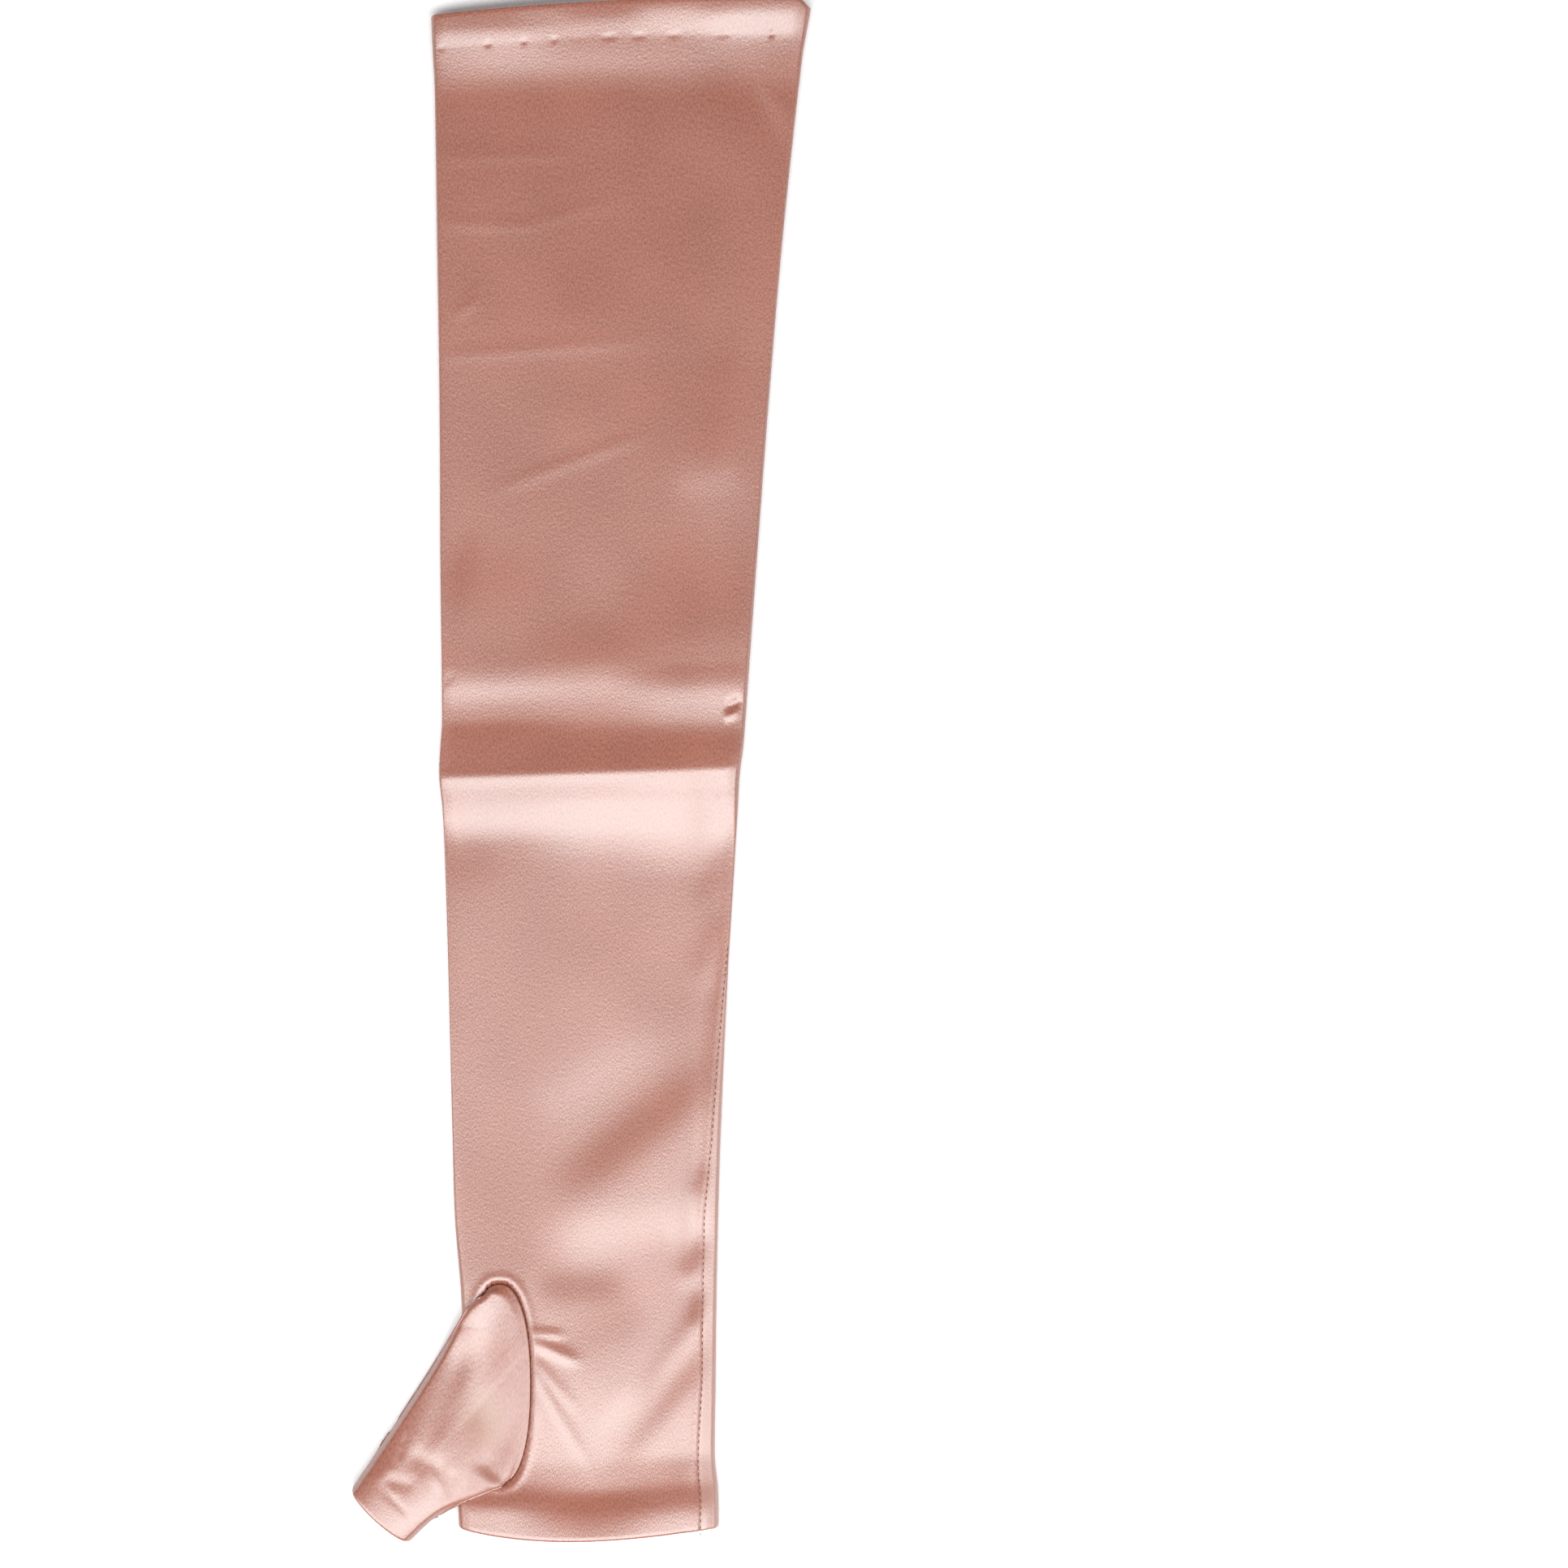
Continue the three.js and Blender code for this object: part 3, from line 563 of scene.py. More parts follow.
def sleeve_loops(stops):
    """A loop of points round the sleeve at each share of its length."""
    at = stops[:, None]
    fold = SIDE_REACH / sleeve_width(at)
    turn = np.linspace(0, np.pi / 2, FOLD_STEPS + 1)[:-1][None, :]
    bend = fold * (1 - np.cos(turn))
    back_height = SIDE_RADIUS * (1 - np.sin(turn))
    top = fold + (1 - 2 * fold) * spread(COLUMN_RUNS)[None, :]
    back = 1 - fold - (1 - 2 * fold) * np.linspace(0, 1, BACK_STEPS + 1)[None, :]
    u = np.concatenate([bend, top, 1 - bend[:, ::-1], 1 - bend[:, 1:], back,
                        bend[:, :0:-1]], axis=1)
    upper = bend.shape[1] * 2 + top.shape[1]
    x, y = place(at, u)
    z = np.concatenate([top_height(at, u[:, :upper]), back_height[:, 1:] + 0 * at,
                        0 * back, back_height[:, :0:-1] + 0 * at], axis=1)
    return np.stack([x, y, z], axis=-1)


rows = spread(ROW_RUNS)
outside = sleeve_loops(rows)
hand_rows = sleeve_loops(np.linspace(HAND_HEM / ARM_LENGTH, 0, HEM_STEPS + 1))
arm_rows = sleeve_loops(np.linspace(1 - ARM_HEM / ARM_LENGTH, 1, HEM_STEPS + 1))
print("sleeve grid:", outside.shape)

# %% [markdown]
# The hand end runs the other way, so its turned-in rows are built from the mirrored order
# and put in front.


# %% Fold the hems in
def turned_in_front(end_rows, radius, gap):
    flipped = turned_in(end_rows[:, ::-1], radius, gap)
    return flipped[::-1, ::-1]


hand_turn = turned_in_front(hand_rows, HEM_RADIUS, HEM_GAP)
arm_turn = turned_in(arm_rows, HEM_RADIUS, HEM_GAP)
sleeve_grid = np.concatenate([hand_turn, outside, arm_turn])
print("with hems:", sleeve_grid.shape)

# %% [markdown]
# The oval hole is cut in two steps: points close to the oval slide onto it, and then every
# face that still has a point inside the oval is dropped. A Boolean would cut it too, but it
# would leave slivers beside the edge, which show in satin.

# %% Cut the thumb's hole
flat_points = sleeve_grid.reshape(-1, 3)
SNAP_REACH, GRADE_STEP, ABOVE_FOLD = 0.62, 0.05, 0.5
upper_side = flat_points[:, 2] > SIDE_RADIUS + ABOVE_FOLD
band = np.zeros(sleeve_grid.shape[:2], dtype=bool)
band[len(hand_turn):len(hand_turn) + len(outside)] = True
movable = upper_side & band.ravel()
gap = oval_distance(flat_points[:, 0], flat_points[:, 1])
near = movable & (np.abs(gap) < SNAP_REACH)
grade_x = (oval_distance(flat_points[:, 0] + GRADE_STEP, flat_points[:, 1]) - gap) / GRADE_STEP
grade_y = (oval_distance(flat_points[:, 0], flat_points[:, 1] + GRADE_STEP) - gap) / GRADE_STEP
length = np.hypot(grade_x, grade_y)
flat_points[near, 0] -= (gap * grade_x / length)[near]
flat_points[near, 1] -= (gap * grade_y / length)[near]
inside = movable & (gap < -SNAP_REACH)
sleeve = sheet_object("sleeve_cloth", flat_points.reshape(sleeve_grid.shape), drop=inside)
thicken(sleeve, CLOTH)

# %% [markdown]
# ## The thumb
# The thumb is a tube from the oval seam to its open end. Seen from above its two side folds
# are nearly straight; the lower layer drapes over the sleeve's edge down to the table, and
# the upper layer bridges over it. Each point's plan and height follow from its share of the
# way along (t) and its turn round the tube. A tube modelled by hand would fit this sleeve
# only; this one finds the sleeve's height under it by itself.

# %% The thumb's sizes and plan
THUMB_LENGTH, THUMB_ANGLE = 64.0, math.radians(47.9)
MOUTH_WIDTH, MOUTH_HEIGHT, MOUTH_BOW = 29.0, 12.2, 2.6
BASE_FOLD, THUMB_SWELL, CROTCH_SWELL, THUMB_WAIST, WAIST_POWER = 2.0, 3.3, 1.5, 2.6, 1.3
THUMB_DRAPE, DRAPE_START, THUMB_LIP, SEWN_GAP = 12.0, 7.3, 0.7, 0.12
THUMB_BRIDGE, THUMB_CLEAR, THUMB_FOLD, THUMB_FOLD_REACH = 0.2, 0.9, 2.0, 2.2
# Shares of the way along: where the cloth has risen from the seam, and how much later it
# does so on the side away from the left fold, between two turns in radians
ROOT_SHARE, LATE_RISE, LATE_TURNS = 0.05, 0.13, (1.0, 2.4)
MOUTH_SIDE_SHARE, BRIDGE_POWER, OVER_FOLD, OVER_FOLD_REACH = 0.76, 1.2, 1.8, (2, 14)
WAY = np.array([-math.cos(THUMB_ANGLE), -math.sin(THUMB_ANGLE)])
ACROSS = np.array([-WAY[1], WAY[0]])
FOLD_TURN = math.pi - math.atan((HOLE_LENGTH / HOLE_WIDTH) / math.tan(THUMB_ANGLE))
MOUTH = np.array([HOLE_X, HOLE_Y]) + WAY * THUMB_LENGTH


def thumb_plan(t, turn, upper):
    """The place of a thumb point seen from above, in mm."""
    across = (1 - np.cos(turn)) / 2
    seam = oval_point(FOLD_TURN + np.where(upper, -turn, turn), SEWN_GAP)
    mouth = (MOUTH + ACROSS * ((across - 0.5) * MOUTH_WIDTH)[..., None]
             + WAY * (MOUTH_BOW * np.sin(turn))[..., None])
    root = (1 - t) ** 3 * smoothstep(t, 0.015, 0.12)
    waist = THUMB_WAIST * np.sin(np.pi * t ** WAIST_POWER)
    bow = -THUMB_SWELL * root * (1 - across) ** 3 + (CROTCH_SWELL * root - waist) * across ** 3
    return seam * (1 - t)[..., None] + mouth * t[..., None] + ACROSS * bow[..., None]


def either(a, b, blend=0.4):
    """The higher of two heights, with a soft change from one to the other."""
    return (a + b + np.sqrt((a - b) ** 2 + blend ** 2)) / 2


def drape_share(x, y):
    """How far down the cloth has come from the sleeve's edge to the table, as a share."""
    at, _ = shares_at(x, y)
    return smoothstep(sleeve_left(at) - x, -SIDE_RADIUS, THUMB_DRAPE)


def under_thumb(x, y):
    """The height of the thumb's lower layer: on the sleeve, then down beside it."""
    at, _ = shares_at(x, y)
    over = np.where(x > sleeve_left(at), top_height_at(x, y) + SEWN_GAP, 0)
    return np.maximum(DRAPE_START * (1 - drape_share(x, y)), over)


# %% The thumb's surface
# name, x, y, direction in degrees from +X, half length, half width, height, all in mm
THUMB_FOLDS = [
    ("long valley", -47, -240, 87, 24, 3.6, -0.6),
    ("pale ridge", -38.5, -222, 88, 22, 6, 0.35),
    ("outer ridge", -56, -232, 62, 20, 5, 0.25),
    ("crotch dent", -47.8, -261, 80, 5, 2.2, -0.25),
    ("inner hollow", -25.5, -241, 75, 9, 2.5, -0.15),
    ("small hollow", -34.3, -253, 60, 3, 2.5, -0.15),
    ("end crease 1", -65, -247, 83, 4, 1.1, -0.22),
    ("end hollow 1", -57, -253, -35, 6, 3.5, -0.3),
    ("end ridge 1", -53, -259, -60, 6, 1.8, 0.15),
    ("end hollow 2", -66.5, -260, -15, 5, 2.5, -0.25),
    ("end crease 2", -68, -267, -42, 7, 1.3, -0.15),
    ("end ridge 2", -72, -257, 50, 4, 2.5, 0.15),
]
# name, x, y, direction in degrees from +X, half length, half width in mm, fall in degrees
THUMB_TILTS = [
    ("pale upper part", -37.5, -211, 88, 27, 5.5, 4.2),
    ("left side", -56, -236, 53, 36, 7.5, -2.5),
    ("left of the pale part", -48, -231, 80, 21, 4.5, -3.5),
    ("lower half", -58, -256, 47, 28, 13, -3.6),
]
THUMB_HEM_LINE, THUMB_HEM_WIDTH = 0.05, 0.012


def thumb_folds(x, y, t):
    """The height of the thumb's hem line, its folds and its tilted patches, in mm."""
    line_at = 1 - THUMB_HEM / THUMB_LENGTH
    height = beside_line(t, line_at, THUMB_HEM_WIDTH, -THUMB_HEM_LINE)
    height = height + summed(THUMB_FOLDS, x, y)
    for _, *patch, degrees in THUMB_TILTS:
        rise = math.tan(math.radians(degrees)) * (y - patch[1])
        height = height + rise * patch_share(x, y, *patch)
    return height


# %% The thumb's two side folds
def side_edge(plan, side):
    """The side fold beside each place of the plan, and the distance to it, in mm."""
    ends = thumb_plan(np.array([0.0, 1.0]), np.full(2, side), np.ones(2, bool))
    share = np.clip(((plan - ends[0]) @ WAY) / ((ends[1] - ends[0]) @ WAY), 0, 1)
    edge = thumb_plan(share, np.full_like(share, side), np.ones(share.shape, bool))
    return edge, np.abs((plan - edge) @ ACROSS)


# %% The heights of the thumb's two layers
def thumb_points(t, turn, upper):
    """The thumb's points in mm, for shares of the way, turns, and which layer they are in."""
    plan = thumb_plan(t, turn, upper)
    (left_edge, left_away), (right_edge, right_away) = [side_edge(plan, s) for s in (0.0, math.pi)]
    nearer_left = left_away < right_away
    edge = np.where(nearer_left[..., None], left_edge, right_edge)
    away = np.where(nearer_left, left_away, right_away)
    edge_drape = drape_share(edge[..., 0], edge[..., 1])
    radius = (BASE_FOLD / 2) * (1 - edge_drape) + THUMB_FOLD * edge_drape
    rounding = np.sqrt(1 - (1 - np.minimum(away / THUMB_FOLD_REACH, 1)) ** 2)
    edge_level = under_thumb(edge[..., 0], edge[..., 1])
    root = smoothstep(t, 0, ROOT_SHARE)
    edge_height = edge_level + THUMB_LIP * (1 - root) + radius * root
    level = under_thumb(plan[..., 0], plan[..., 1])
    lower = edge_height * (1 - rounding) + level * rounding
    start = thumb_plan(np.zeros_like(t), turn, upper)
    seam_height = top_height_at(start[..., 0], start[..., 1]) + THUMB_LIP
    mouth_height = MOUTH_HEIGHT * (MOUTH_SIDE_SHARE + (1 - MOUTH_SIDE_SHARE) * np.sin(turn))
    onward = t ** BRIDGE_POWER
    bridge = (seam_height + THUMB_BRIDGE) * (1 - onward) + mouth_height * onward
    body = either(bridge, level + THUMB_CLEAR)
    over_fold = np.maximum(0, edge_level + OVER_FOLD * radius - body)
    body = body + over_fold * (1 - smoothstep(away, *OVER_FOLD_REACH))
    rise = smoothstep(t / (ROOT_SHARE + LATE_RISE * smoothstep(turn, *LATE_TURNS)), 0, 1)
    top = seam_height * (1 - rise) + body * rise
    top = top + thumb_folds(plan[..., 0], plan[..., 1], t) * rise
    upper_z = edge_height * (1 - rounding) + top * rounding
    return np.concatenate([plan, np.where(upper, upper_z, lower)[..., None]], axis=-1)


# %% [markdown]
# The thumb is cut with its threads slanting to its length, so they lie the same way as the
# sleeve's when it is folded down to the left.

# %% The thumb's grid
THUMB_GRAIN = math.radians(-42.1)
THUMB_COLUMNS = 72
THUMB_ROW_RUNS = [(0.0, 0), (0.12, 15), (1.0, 83)]
# The collar under the seam: how far out its first row lies, and how deep its rows lie
COLLAR_OUT, COLLAR_DEPTHS = 0.9, (1.3, 1.0, 0.3)
THUMB_HEM_RADIUS, THUMB_HEM_GAP, THUMB_HEM_STEPS = 0.7, 0.1, 5


def thumb_loops(t_rows):
    """A loop of points round the thumb at each share of its length."""
    turns = np.linspace(0, math.pi, THUMB_COLUMNS + 1)
    turn = np.concatenate([turns[:-1], turns[:0:-1]])
    upper = np.concatenate([np.ones(THUMB_COLUMNS, bool), np.zeros(THUMB_COLUMNS, bool)])
    t_grid, turn_grid = np.meshgrid(t_rows, turn, indexing="ij")
    return thumb_points(t_grid, turn_grid, np.broadcast_to(upper, t_grid.shape))[:, ::-1]


def ring_out(ring, distance):
    """A closed ring of plan points, moved outward by a distance."""
    way = np.roll(ring, -1, axis=0) - np.roll(ring, 1, axis=0)
    way /= np.linalg.norm(way, axis=1, keepdims=True)
    outward = np.stack([way[:, 1], -way[:, 0]], axis=-1)
    turned = np.sum(ring[:, 0] * np.roll(ring[:, 1], -1) - np.roll(ring[:, 0], -1) * ring[:, 1])
    return ring + outward * distance * np.sign(turned)


# %% Make the thumb
thumb_outside = thumb_loops(spread(THUMB_ROW_RUNS))
collar = thumb_outside[:1].repeat(len(COLLAR_DEPTHS), axis=0)
seat = top_height_at(collar[0, :, 0], collar[0, :, 1])
collar[0, :, :2] = ring_out(collar[0, :, :2], COLLAR_OUT)
collar[..., 2] = seat - np.array(COLLAR_DEPTHS)[:, None]
thumb_end = thumb_loops(np.linspace(1 - THUMB_HEM / THUMB_LENGTH, 1, THUMB_HEM_STEPS + 1))
thumb_turn = turned_in(thumb_end, THUMB_HEM_RADIUS, THUMB_HEM_GAP)
thumb_grid = np.concatenate([collar, thumb_outside, thumb_turn])
thumb = sheet_object("thumb_cloth", thumb_grid)
cloth_uv = np.empty(len(thumb.data.loops) * 2, dtype=np.float32)
thumb.data.uv_layers["cloth"].data.foreach_get("uv", cloth_uv)
cos, sin = math.cos(THUMB_GRAIN), math.sin(THUMB_GRAIN)
cloth_uv = cloth_uv.reshape(-1, 2) @ np.array([[cos, sin], [-sin, cos]], dtype=np.float32)
thumb.data.uv_layers["cloth"].data.foreach_set("uv", cloth_uv.ravel())
thicken(thumb, CLOTH)

# %% [markdown]
# ## Seam allowances
# Inside, the cloth left over beside each seam is pressed flat under the upper layer. These
# strips hardly show, except as the slightly raised strip beside the side seam. They are
# grids laid a fixed depth under the sleeve, so they follow its folds.


# %% Strips under the upper layer
STRIP_CLOTH, STRIP_STEPS, STRIP_INSET = 0.4, 5, 1.5
# Width and depth under the upper layer's outside, in mm, and the rows along it
SIDE_STRIP, SIDE_STRIP_ROWS = (5.0, 1.0), 260
THUMB_STRIP, THUMB_STRIP_ROWS, THUMB_STRIP_ENDS = (3.7, 1.6), 90, (0.1, 0.9)
EDGE_REACH = 0.75


def strip(name, line, offsets, depth):
    """A strip of cloth under the upper layer; line gives the plan at each offset."""
    grid = np.stack([line(offset) for offset in offsets], axis=1)
    z = top_height_at(grid[..., 0], grid[..., 1]) - depth
    grid = np.concatenate([grid, z[..., None]], axis=-1)
    faces, _, _ = grid_faces(*grid.shape[:2], grid.shape[1] - 1)
    points = grid.reshape(-1, 3) * MM
    return thicken(cloth_object(name, points, faces, points[faces.ravel(), :2]), STRIP_CLOTH)


def side_line(offset):
    """A line beside the right fold, from hem to hem."""
    ends = (HAND_HEM + STRIP_INSET) / ARM_LENGTH, 1 - (ARM_HEM + STRIP_INSET) / ARM_LENGTH
    at = np.linspace(*ends, SIDE_STRIP_ROWS)
    u = 1 - (SIDE_RADIUS * EDGE_REACH + offset) / sleeve_width(at)
    return np.stack(place(at, u), axis=-1)


def thumb_line(offset):
    """A line outside the oval's visible side."""
    turns = FOLD_TURN - np.linspace(*THUMB_STRIP_ENDS, THUMB_STRIP_ROWS) * math.pi
    return oval_point(turns, -offset)


side_strip = strip("side_seam_strip", side_line,
                   np.linspace(SIDE_STRIP[0], 0.0, STRIP_STEPS + 1), SIDE_STRIP[1])
thumb_strip = strip("thumb_seam_strip", thumb_line,
                    np.linspace(0.0, THUMB_STRIP[0], STRIP_STEPS + 1), THUMB_STRIP[1])

# %% [markdown]
# ## Satin
# Satin is woven with long threads lying on its face, so its shine is stretched across them
# and it reacts to slopes along them. The colour of the shine is white, and the cloth under
# it is a dusty rose. An image of the weave would do it too, but it would show its tiles. A
# shader group makes the weave instead: a fine grain along the threads for the height, and a
# faint mottling for the colour. The satin and its duller wrong side both use it.


# %% The weave group
GRAIN_TURN, GRAIN_STRETCH, CLOUD_SCALE = math.radians(6), (1.0, 0.45, 1.0), 40.0


def weave_group():
    """A group of nodes that puts out the weave's height and its mottling."""
    tree = bpy.data.node_groups.new("woven grain", "ShaderNodeTree")
    face = tree.interface
    for name, default in (("Grain", 2200.0), ("Specks", 1800.0), ("Cloud", 0.2)):
        socket = face.new_socket(name, in_out="INPUT", socket_type="NodeSocketFloat")
        socket.default_value = default
    for name in ("Height", "Mottle"):
        face.new_socket(name, in_out="OUTPUT", socket_type="NodeSocketFloat")
    nodes, links = tree.nodes, tree.links
    inputs, outputs = nodes.new("NodeGroupInput"), nodes.new("NodeGroupOutput")
    where = nodes.new("ShaderNodeTexCoord")
    turned = nodes.new("ShaderNodeMapping")
    turned.inputs["Rotation"].default_value = (0, 0, GRAIN_TURN)
    turned.inputs["Scale"].default_value = GRAIN_STRETCH
    links.new(where.outputs["UV"], turned.inputs["Vector"])
    noises = {}
    for name, source, size in (("grain", turned.outputs["Vector"], "Grain"),
                               ("specks", turned.outputs["Vector"], "Specks"),
                               ("cloud", where.outputs["Object"], None)):
        noises[name] = nodes.new("ShaderNodeTexNoise")
        noises[name].inputs["Detail"].default_value = 1.0
        noises[name].inputs["Scale"].default_value = CLOUD_SCALE
        links.new(source, noises[name].inputs["Vector"])
        if size:
            links.new(inputs.outputs[size], noises[name].inputs["Scale"])
    mix = nodes.new("ShaderNodeMix")
    links.new(inputs.outputs["Cloud"], mix.inputs["Factor"])
    links.new(noises["specks"].outputs["Fac"], mix.inputs["A"])
    links.new(noises["cloud"].outputs["Fac"], mix.inputs["B"])
    links.new(noises["grain"].outputs["Fac"], outputs.inputs["Height"])
    links.new(mix.outputs["Result"], outputs.inputs["Mottle"])
    return tree


WEAVE = weave_group()
print("weave group:", len(WEAVE.nodes), "nodes")


# %% The two sides of the cloth
# The strip right of the side seam is painted lighter: a painted sheen, the satin's rose with white
# added.
ALLOWANCE_PAINTED_SHEEN = (0.38, 0.18, 0.14)
STAIN_BEIGE = (0.30, 0.12, 0.05)
SHINE_TINT, CLOTH_IOR, SHEEN, SHEEN_ROUGHNESS = (0.92, 1.0, 1.0, 1), 1.7, 0.05, 0.4
MOTTLE_LOW, MOTTLE_HIGH, WEAVE_DEPTH = 0.36, 0.64, 0.0002


def cloth_material(name, deep, pale, roughness, shine, anisotropy, bump):
    """Woven cloth between two colours, with the tints of the masks over them: a painted sheen
    beside the side seam, and a stain.
    """
    material = bpy.data.materials.new(name)
    material.use_nodes = True
    nodes, links = material.node_tree.nodes, material.node_tree.links
    shader = nodes["Principled BSDF"]
    for socket, value in (("Roughness", roughness), ("Specular IOR Level", shine),
                          ("Specular Tint", SHINE_TINT), ("IOR", CLOTH_IOR),
                          ("Anisotropic", anisotropy), ("Sheen Weight", SHEEN),
                          ("Sheen Roughness", SHEEN_ROUGHNESS)):
        shader.inputs[socket].default_value = value
    weave = nodes.new("ShaderNodeGroup")
    weave.node_tree = WEAVE
    ramp = nodes.new("ShaderNodeValToRGB")
    for stop, position, colour in zip(ramp.color_ramp.elements, (MOTTLE_LOW, MOTTLE_HIGH),
                                      (deep, pale)):
        stop.position, stop.color = position, (*colour, 1)
    links.new(weave.outputs["Mottle"], ramp.inputs["Fac"])
    colour = ramp.outputs["Color"]
    # Over the weave's colour go the painted sheen beside the side seam and the stain's tint.
    for mask, tint in (("allowance_painted_sheen", ALLOWANCE_PAINTED_SHEEN), ("stain", STAIN_BEIGE)):
        shown = nodes.new("ShaderNodeAttribute")
        shown.attribute_name = mask
        blend = nodes.new("ShaderNodeMix")
        blend.data_type = "RGBA"
        blend.inputs["B"].default_value = (*tint, 1)
        links.new(shown.outputs["Fac"], blend.inputs["Factor"])
        links.new(colour, blend.inputs["A"])
        colour = blend.outputs["Result"]
    links.new(colour, shader.inputs["Base Color"])
    relief = nodes.new("ShaderNodeBump")
    relief.inputs["Strength"].default_value = bump
    relief.inputs["Distance"].default_value = WEAVE_DEPTH
    links.new(weave.outputs["Height"], relief.inputs["Height"])
    links.new(relief.outputs["Normal"], shader.inputs["Normal"])
    tangent = nodes.new("ShaderNodeTangent")
    tangent.direction_type = "UV_MAP"
    tangent.uv_map = "cloth"
    links.new(tangent.outputs["Tangent"], shader.inputs["Tangent"])
    return material


# %% The masks of the painted sheen on the doubled cloth and of the stain
# Where the painted sheen beside the side seam eases in and where it fades out, in mm.
PAINTED_SHEEN_EASE, PAINTED_SHEEN_FADES = 0.8, (-90, -60)
# The stain's middle, its two half sizes in mm, its strength, and where it starts to fade
STAIN_AT, STAIN_SIZE, STAIN, STAIN_FADES = (-36, -235), (9, 13), 0.5, (0.3, 1.3)


def add_mask(piece, name, shape):
    """A value for each point of a mesh, from a function of its place in mm."""
    mesh = piece.data
    places = np.empty(len(mesh.vertices) * 3, dtype=np.float32)
    mesh.vertices.foreach_get("co", places)
    x, y, z = (places.reshape(-1, 3) / MM).T
    mask = mesh.attributes.new(name, "FLOAT", "POINT")
    mask.data.foreach_set("value", shape(x, y, z).astype(np.float32))


def allowance_painted_sheen_mask(x, y, z):
    """The doubled cloth right of the side seam, where it is painted lighter as a painted sheen."""
    at, _ = shares_at(x, y)
    beside = seam_distance(x, y, sleeve_left(at) + sleeve_width(at))
    shown = (z > SIDE_RADIUS) * (1 - smoothstep(y, *PAINTED_SHEEN_FADES))
    return smoothstep(-beside, 0, PAINTED_SHEEN_EASE) * shown


def stain_mask(x, y, z):
    """A faint old stain on the thumb."""
    away = np.hypot((x - STAIN_AT[0]) / STAIN_SIZE[0], (y - STAIN_AT[1]) / STAIN_SIZE[1])
    return STAIN * (1 - smoothstep(away, *STAIN_FADES))


# The sleeve gets the painted sheen beside its side seam, and the thumb gets its stain.
add_mask(sleeve, "allowance_painted_sheen", allowance_painted_sheen_mask)
add_mask(thumb, "stain", stain_mask)

# %% Dress the cloth
satin = cloth_material(
    "rose satin", deep=(0.250, 0.080, 0.050), pale=(0.378, 0.129, 0.085),
    roughness=0.40, shine=1.0, anisotropy=0.6, bump=0.32)
wrong_side = cloth_material(
    "wrong side of the satin", deep=(0.32, 0.14, 0.105), pale=(0.40, 0.18, 0.135),
    roughness=0.62, shine=0.5, anisotropy=0.2, bump=0.5)
for piece, cloth in ((sleeve, satin), (thumb, satin), (side_strip, wrong_side),
                     (thumb_strip, wrong_side)):
    piece.data.materials.clear()
    piece.data.materials.append(cloth)
    print(piece.name, "is made of", cloth.name)

# %% [markdown]
# ## Stitches
# The side seam is a row of machine stitches, and the thumb is sewn in by small close ones.
# Stitches repeat along a path, so Geometry Nodes place them: the path is resampled at the
# stitch pitch, and one small spindle of thread is put on each point along the path. A curve
# with a bevel would be quicker, but it would make one long cord and no stitches.


# %% The stitch tree
SPINDLE_SEGMENTS, SPINDLE_RINGS = 8, 6


def stitch_tree(material):
    """A tree of nodes that turns a path into separate stitches of thread."""
    tree = bpy.data.node_groups.new("stitches along a path", "GeometryNodeTree")
    face = tree.interface
    face.new_socket("Geometry", in_out="INPUT", socket_type="NodeSocketGeometry")
    for name in ("Pitch", "Stitch length", "Thread radius"):
        face.new_socket(name, in_out="INPUT", socket_type="NodeSocketFloat")
    face.new_socket("Geometry", in_out="OUTPUT", socket_type="NodeSocketGeometry")
    nodes, links = tree.nodes, tree.links
    inputs, outputs = nodes.new("NodeGroupInput"), nodes.new("NodeGroupOutput")
    curve = nodes.new("GeometryNodeMeshToCurve")
    links.new(inputs.outputs["Geometry"], curve.inputs["Mesh"])
    evenly = nodes.new("GeometryNodeResampleCurve")
    evenly.mode = "LENGTH"
    links.new(curve.outputs["Curve"], evenly.inputs["Curve"])
    links.new(inputs.outputs["Pitch"], evenly.inputs["Length"])
    spindle = nodes.new("GeometryNodeMeshUVSphere")
    spindle.inputs["Segments"].default_value = SPINDLE_SEGMENTS
    spindle.inputs["Rings"].default_value = SPINDLE_RINGS
    links.new(inputs.outputs["Thread radius"], spindle.inputs["Radius"])
    ratio = nodes.new("ShaderNodeMath")
    ratio.operation = "DIVIDE"
    links.new(inputs.outputs["Stitch length"], ratio.inputs[0])
    links.new(inputs.outputs["Thread radius"], ratio.inputs[1])
    half = nodes.new("ShaderNodeMath")
    half.operation = "MULTIPLY"
    half.inputs[1].default_value = 0.5
    links.new(ratio.outputs["Value"], half.inputs[0])
    stretch = nodes.new("ShaderNodeCombineXYZ")
    stretch.inputs["X"].default_value = 1.0
    stretch.inputs["Y"].default_value = 1.0
    links.new(half.outputs["Value"], stretch.inputs["Z"])
    heading = nodes.new("GeometryNodeInputTangent")
    turn = nodes.new("FunctionNodeAlignRotationToVector")
    turn.axis = "Z"
    links.new(heading.outputs["Tangent"], turn.inputs["Vector"])
    place_each = nodes.new("GeometryNodeInstanceOnPoints")
    links.new(evenly.outputs["Curve"], place_each.inputs["Points"])
    links.new(spindle.outputs["Mesh"], place_each.inputs["Instance"])
    links.new(turn.outputs["Rotation"], place_each.inputs["Rotation"])
    links.new(stretch.outputs["Vector"], place_each.inputs["Scale"])
    real = nodes.new("GeometryNodeRealizeInstances")
    links.new(place_each.outputs["Instances"], real.inputs["Geometry"])
    finish = nodes.new("GeometryNodeSetMaterial")
    finish.inputs["Material"].default_value = material
    links.new(real.outputs["Geometry"], finish.inputs["Geometry"])
    links.new(finish.outputs["Geometry"], outputs.inputs["Geometry"])
    return tree


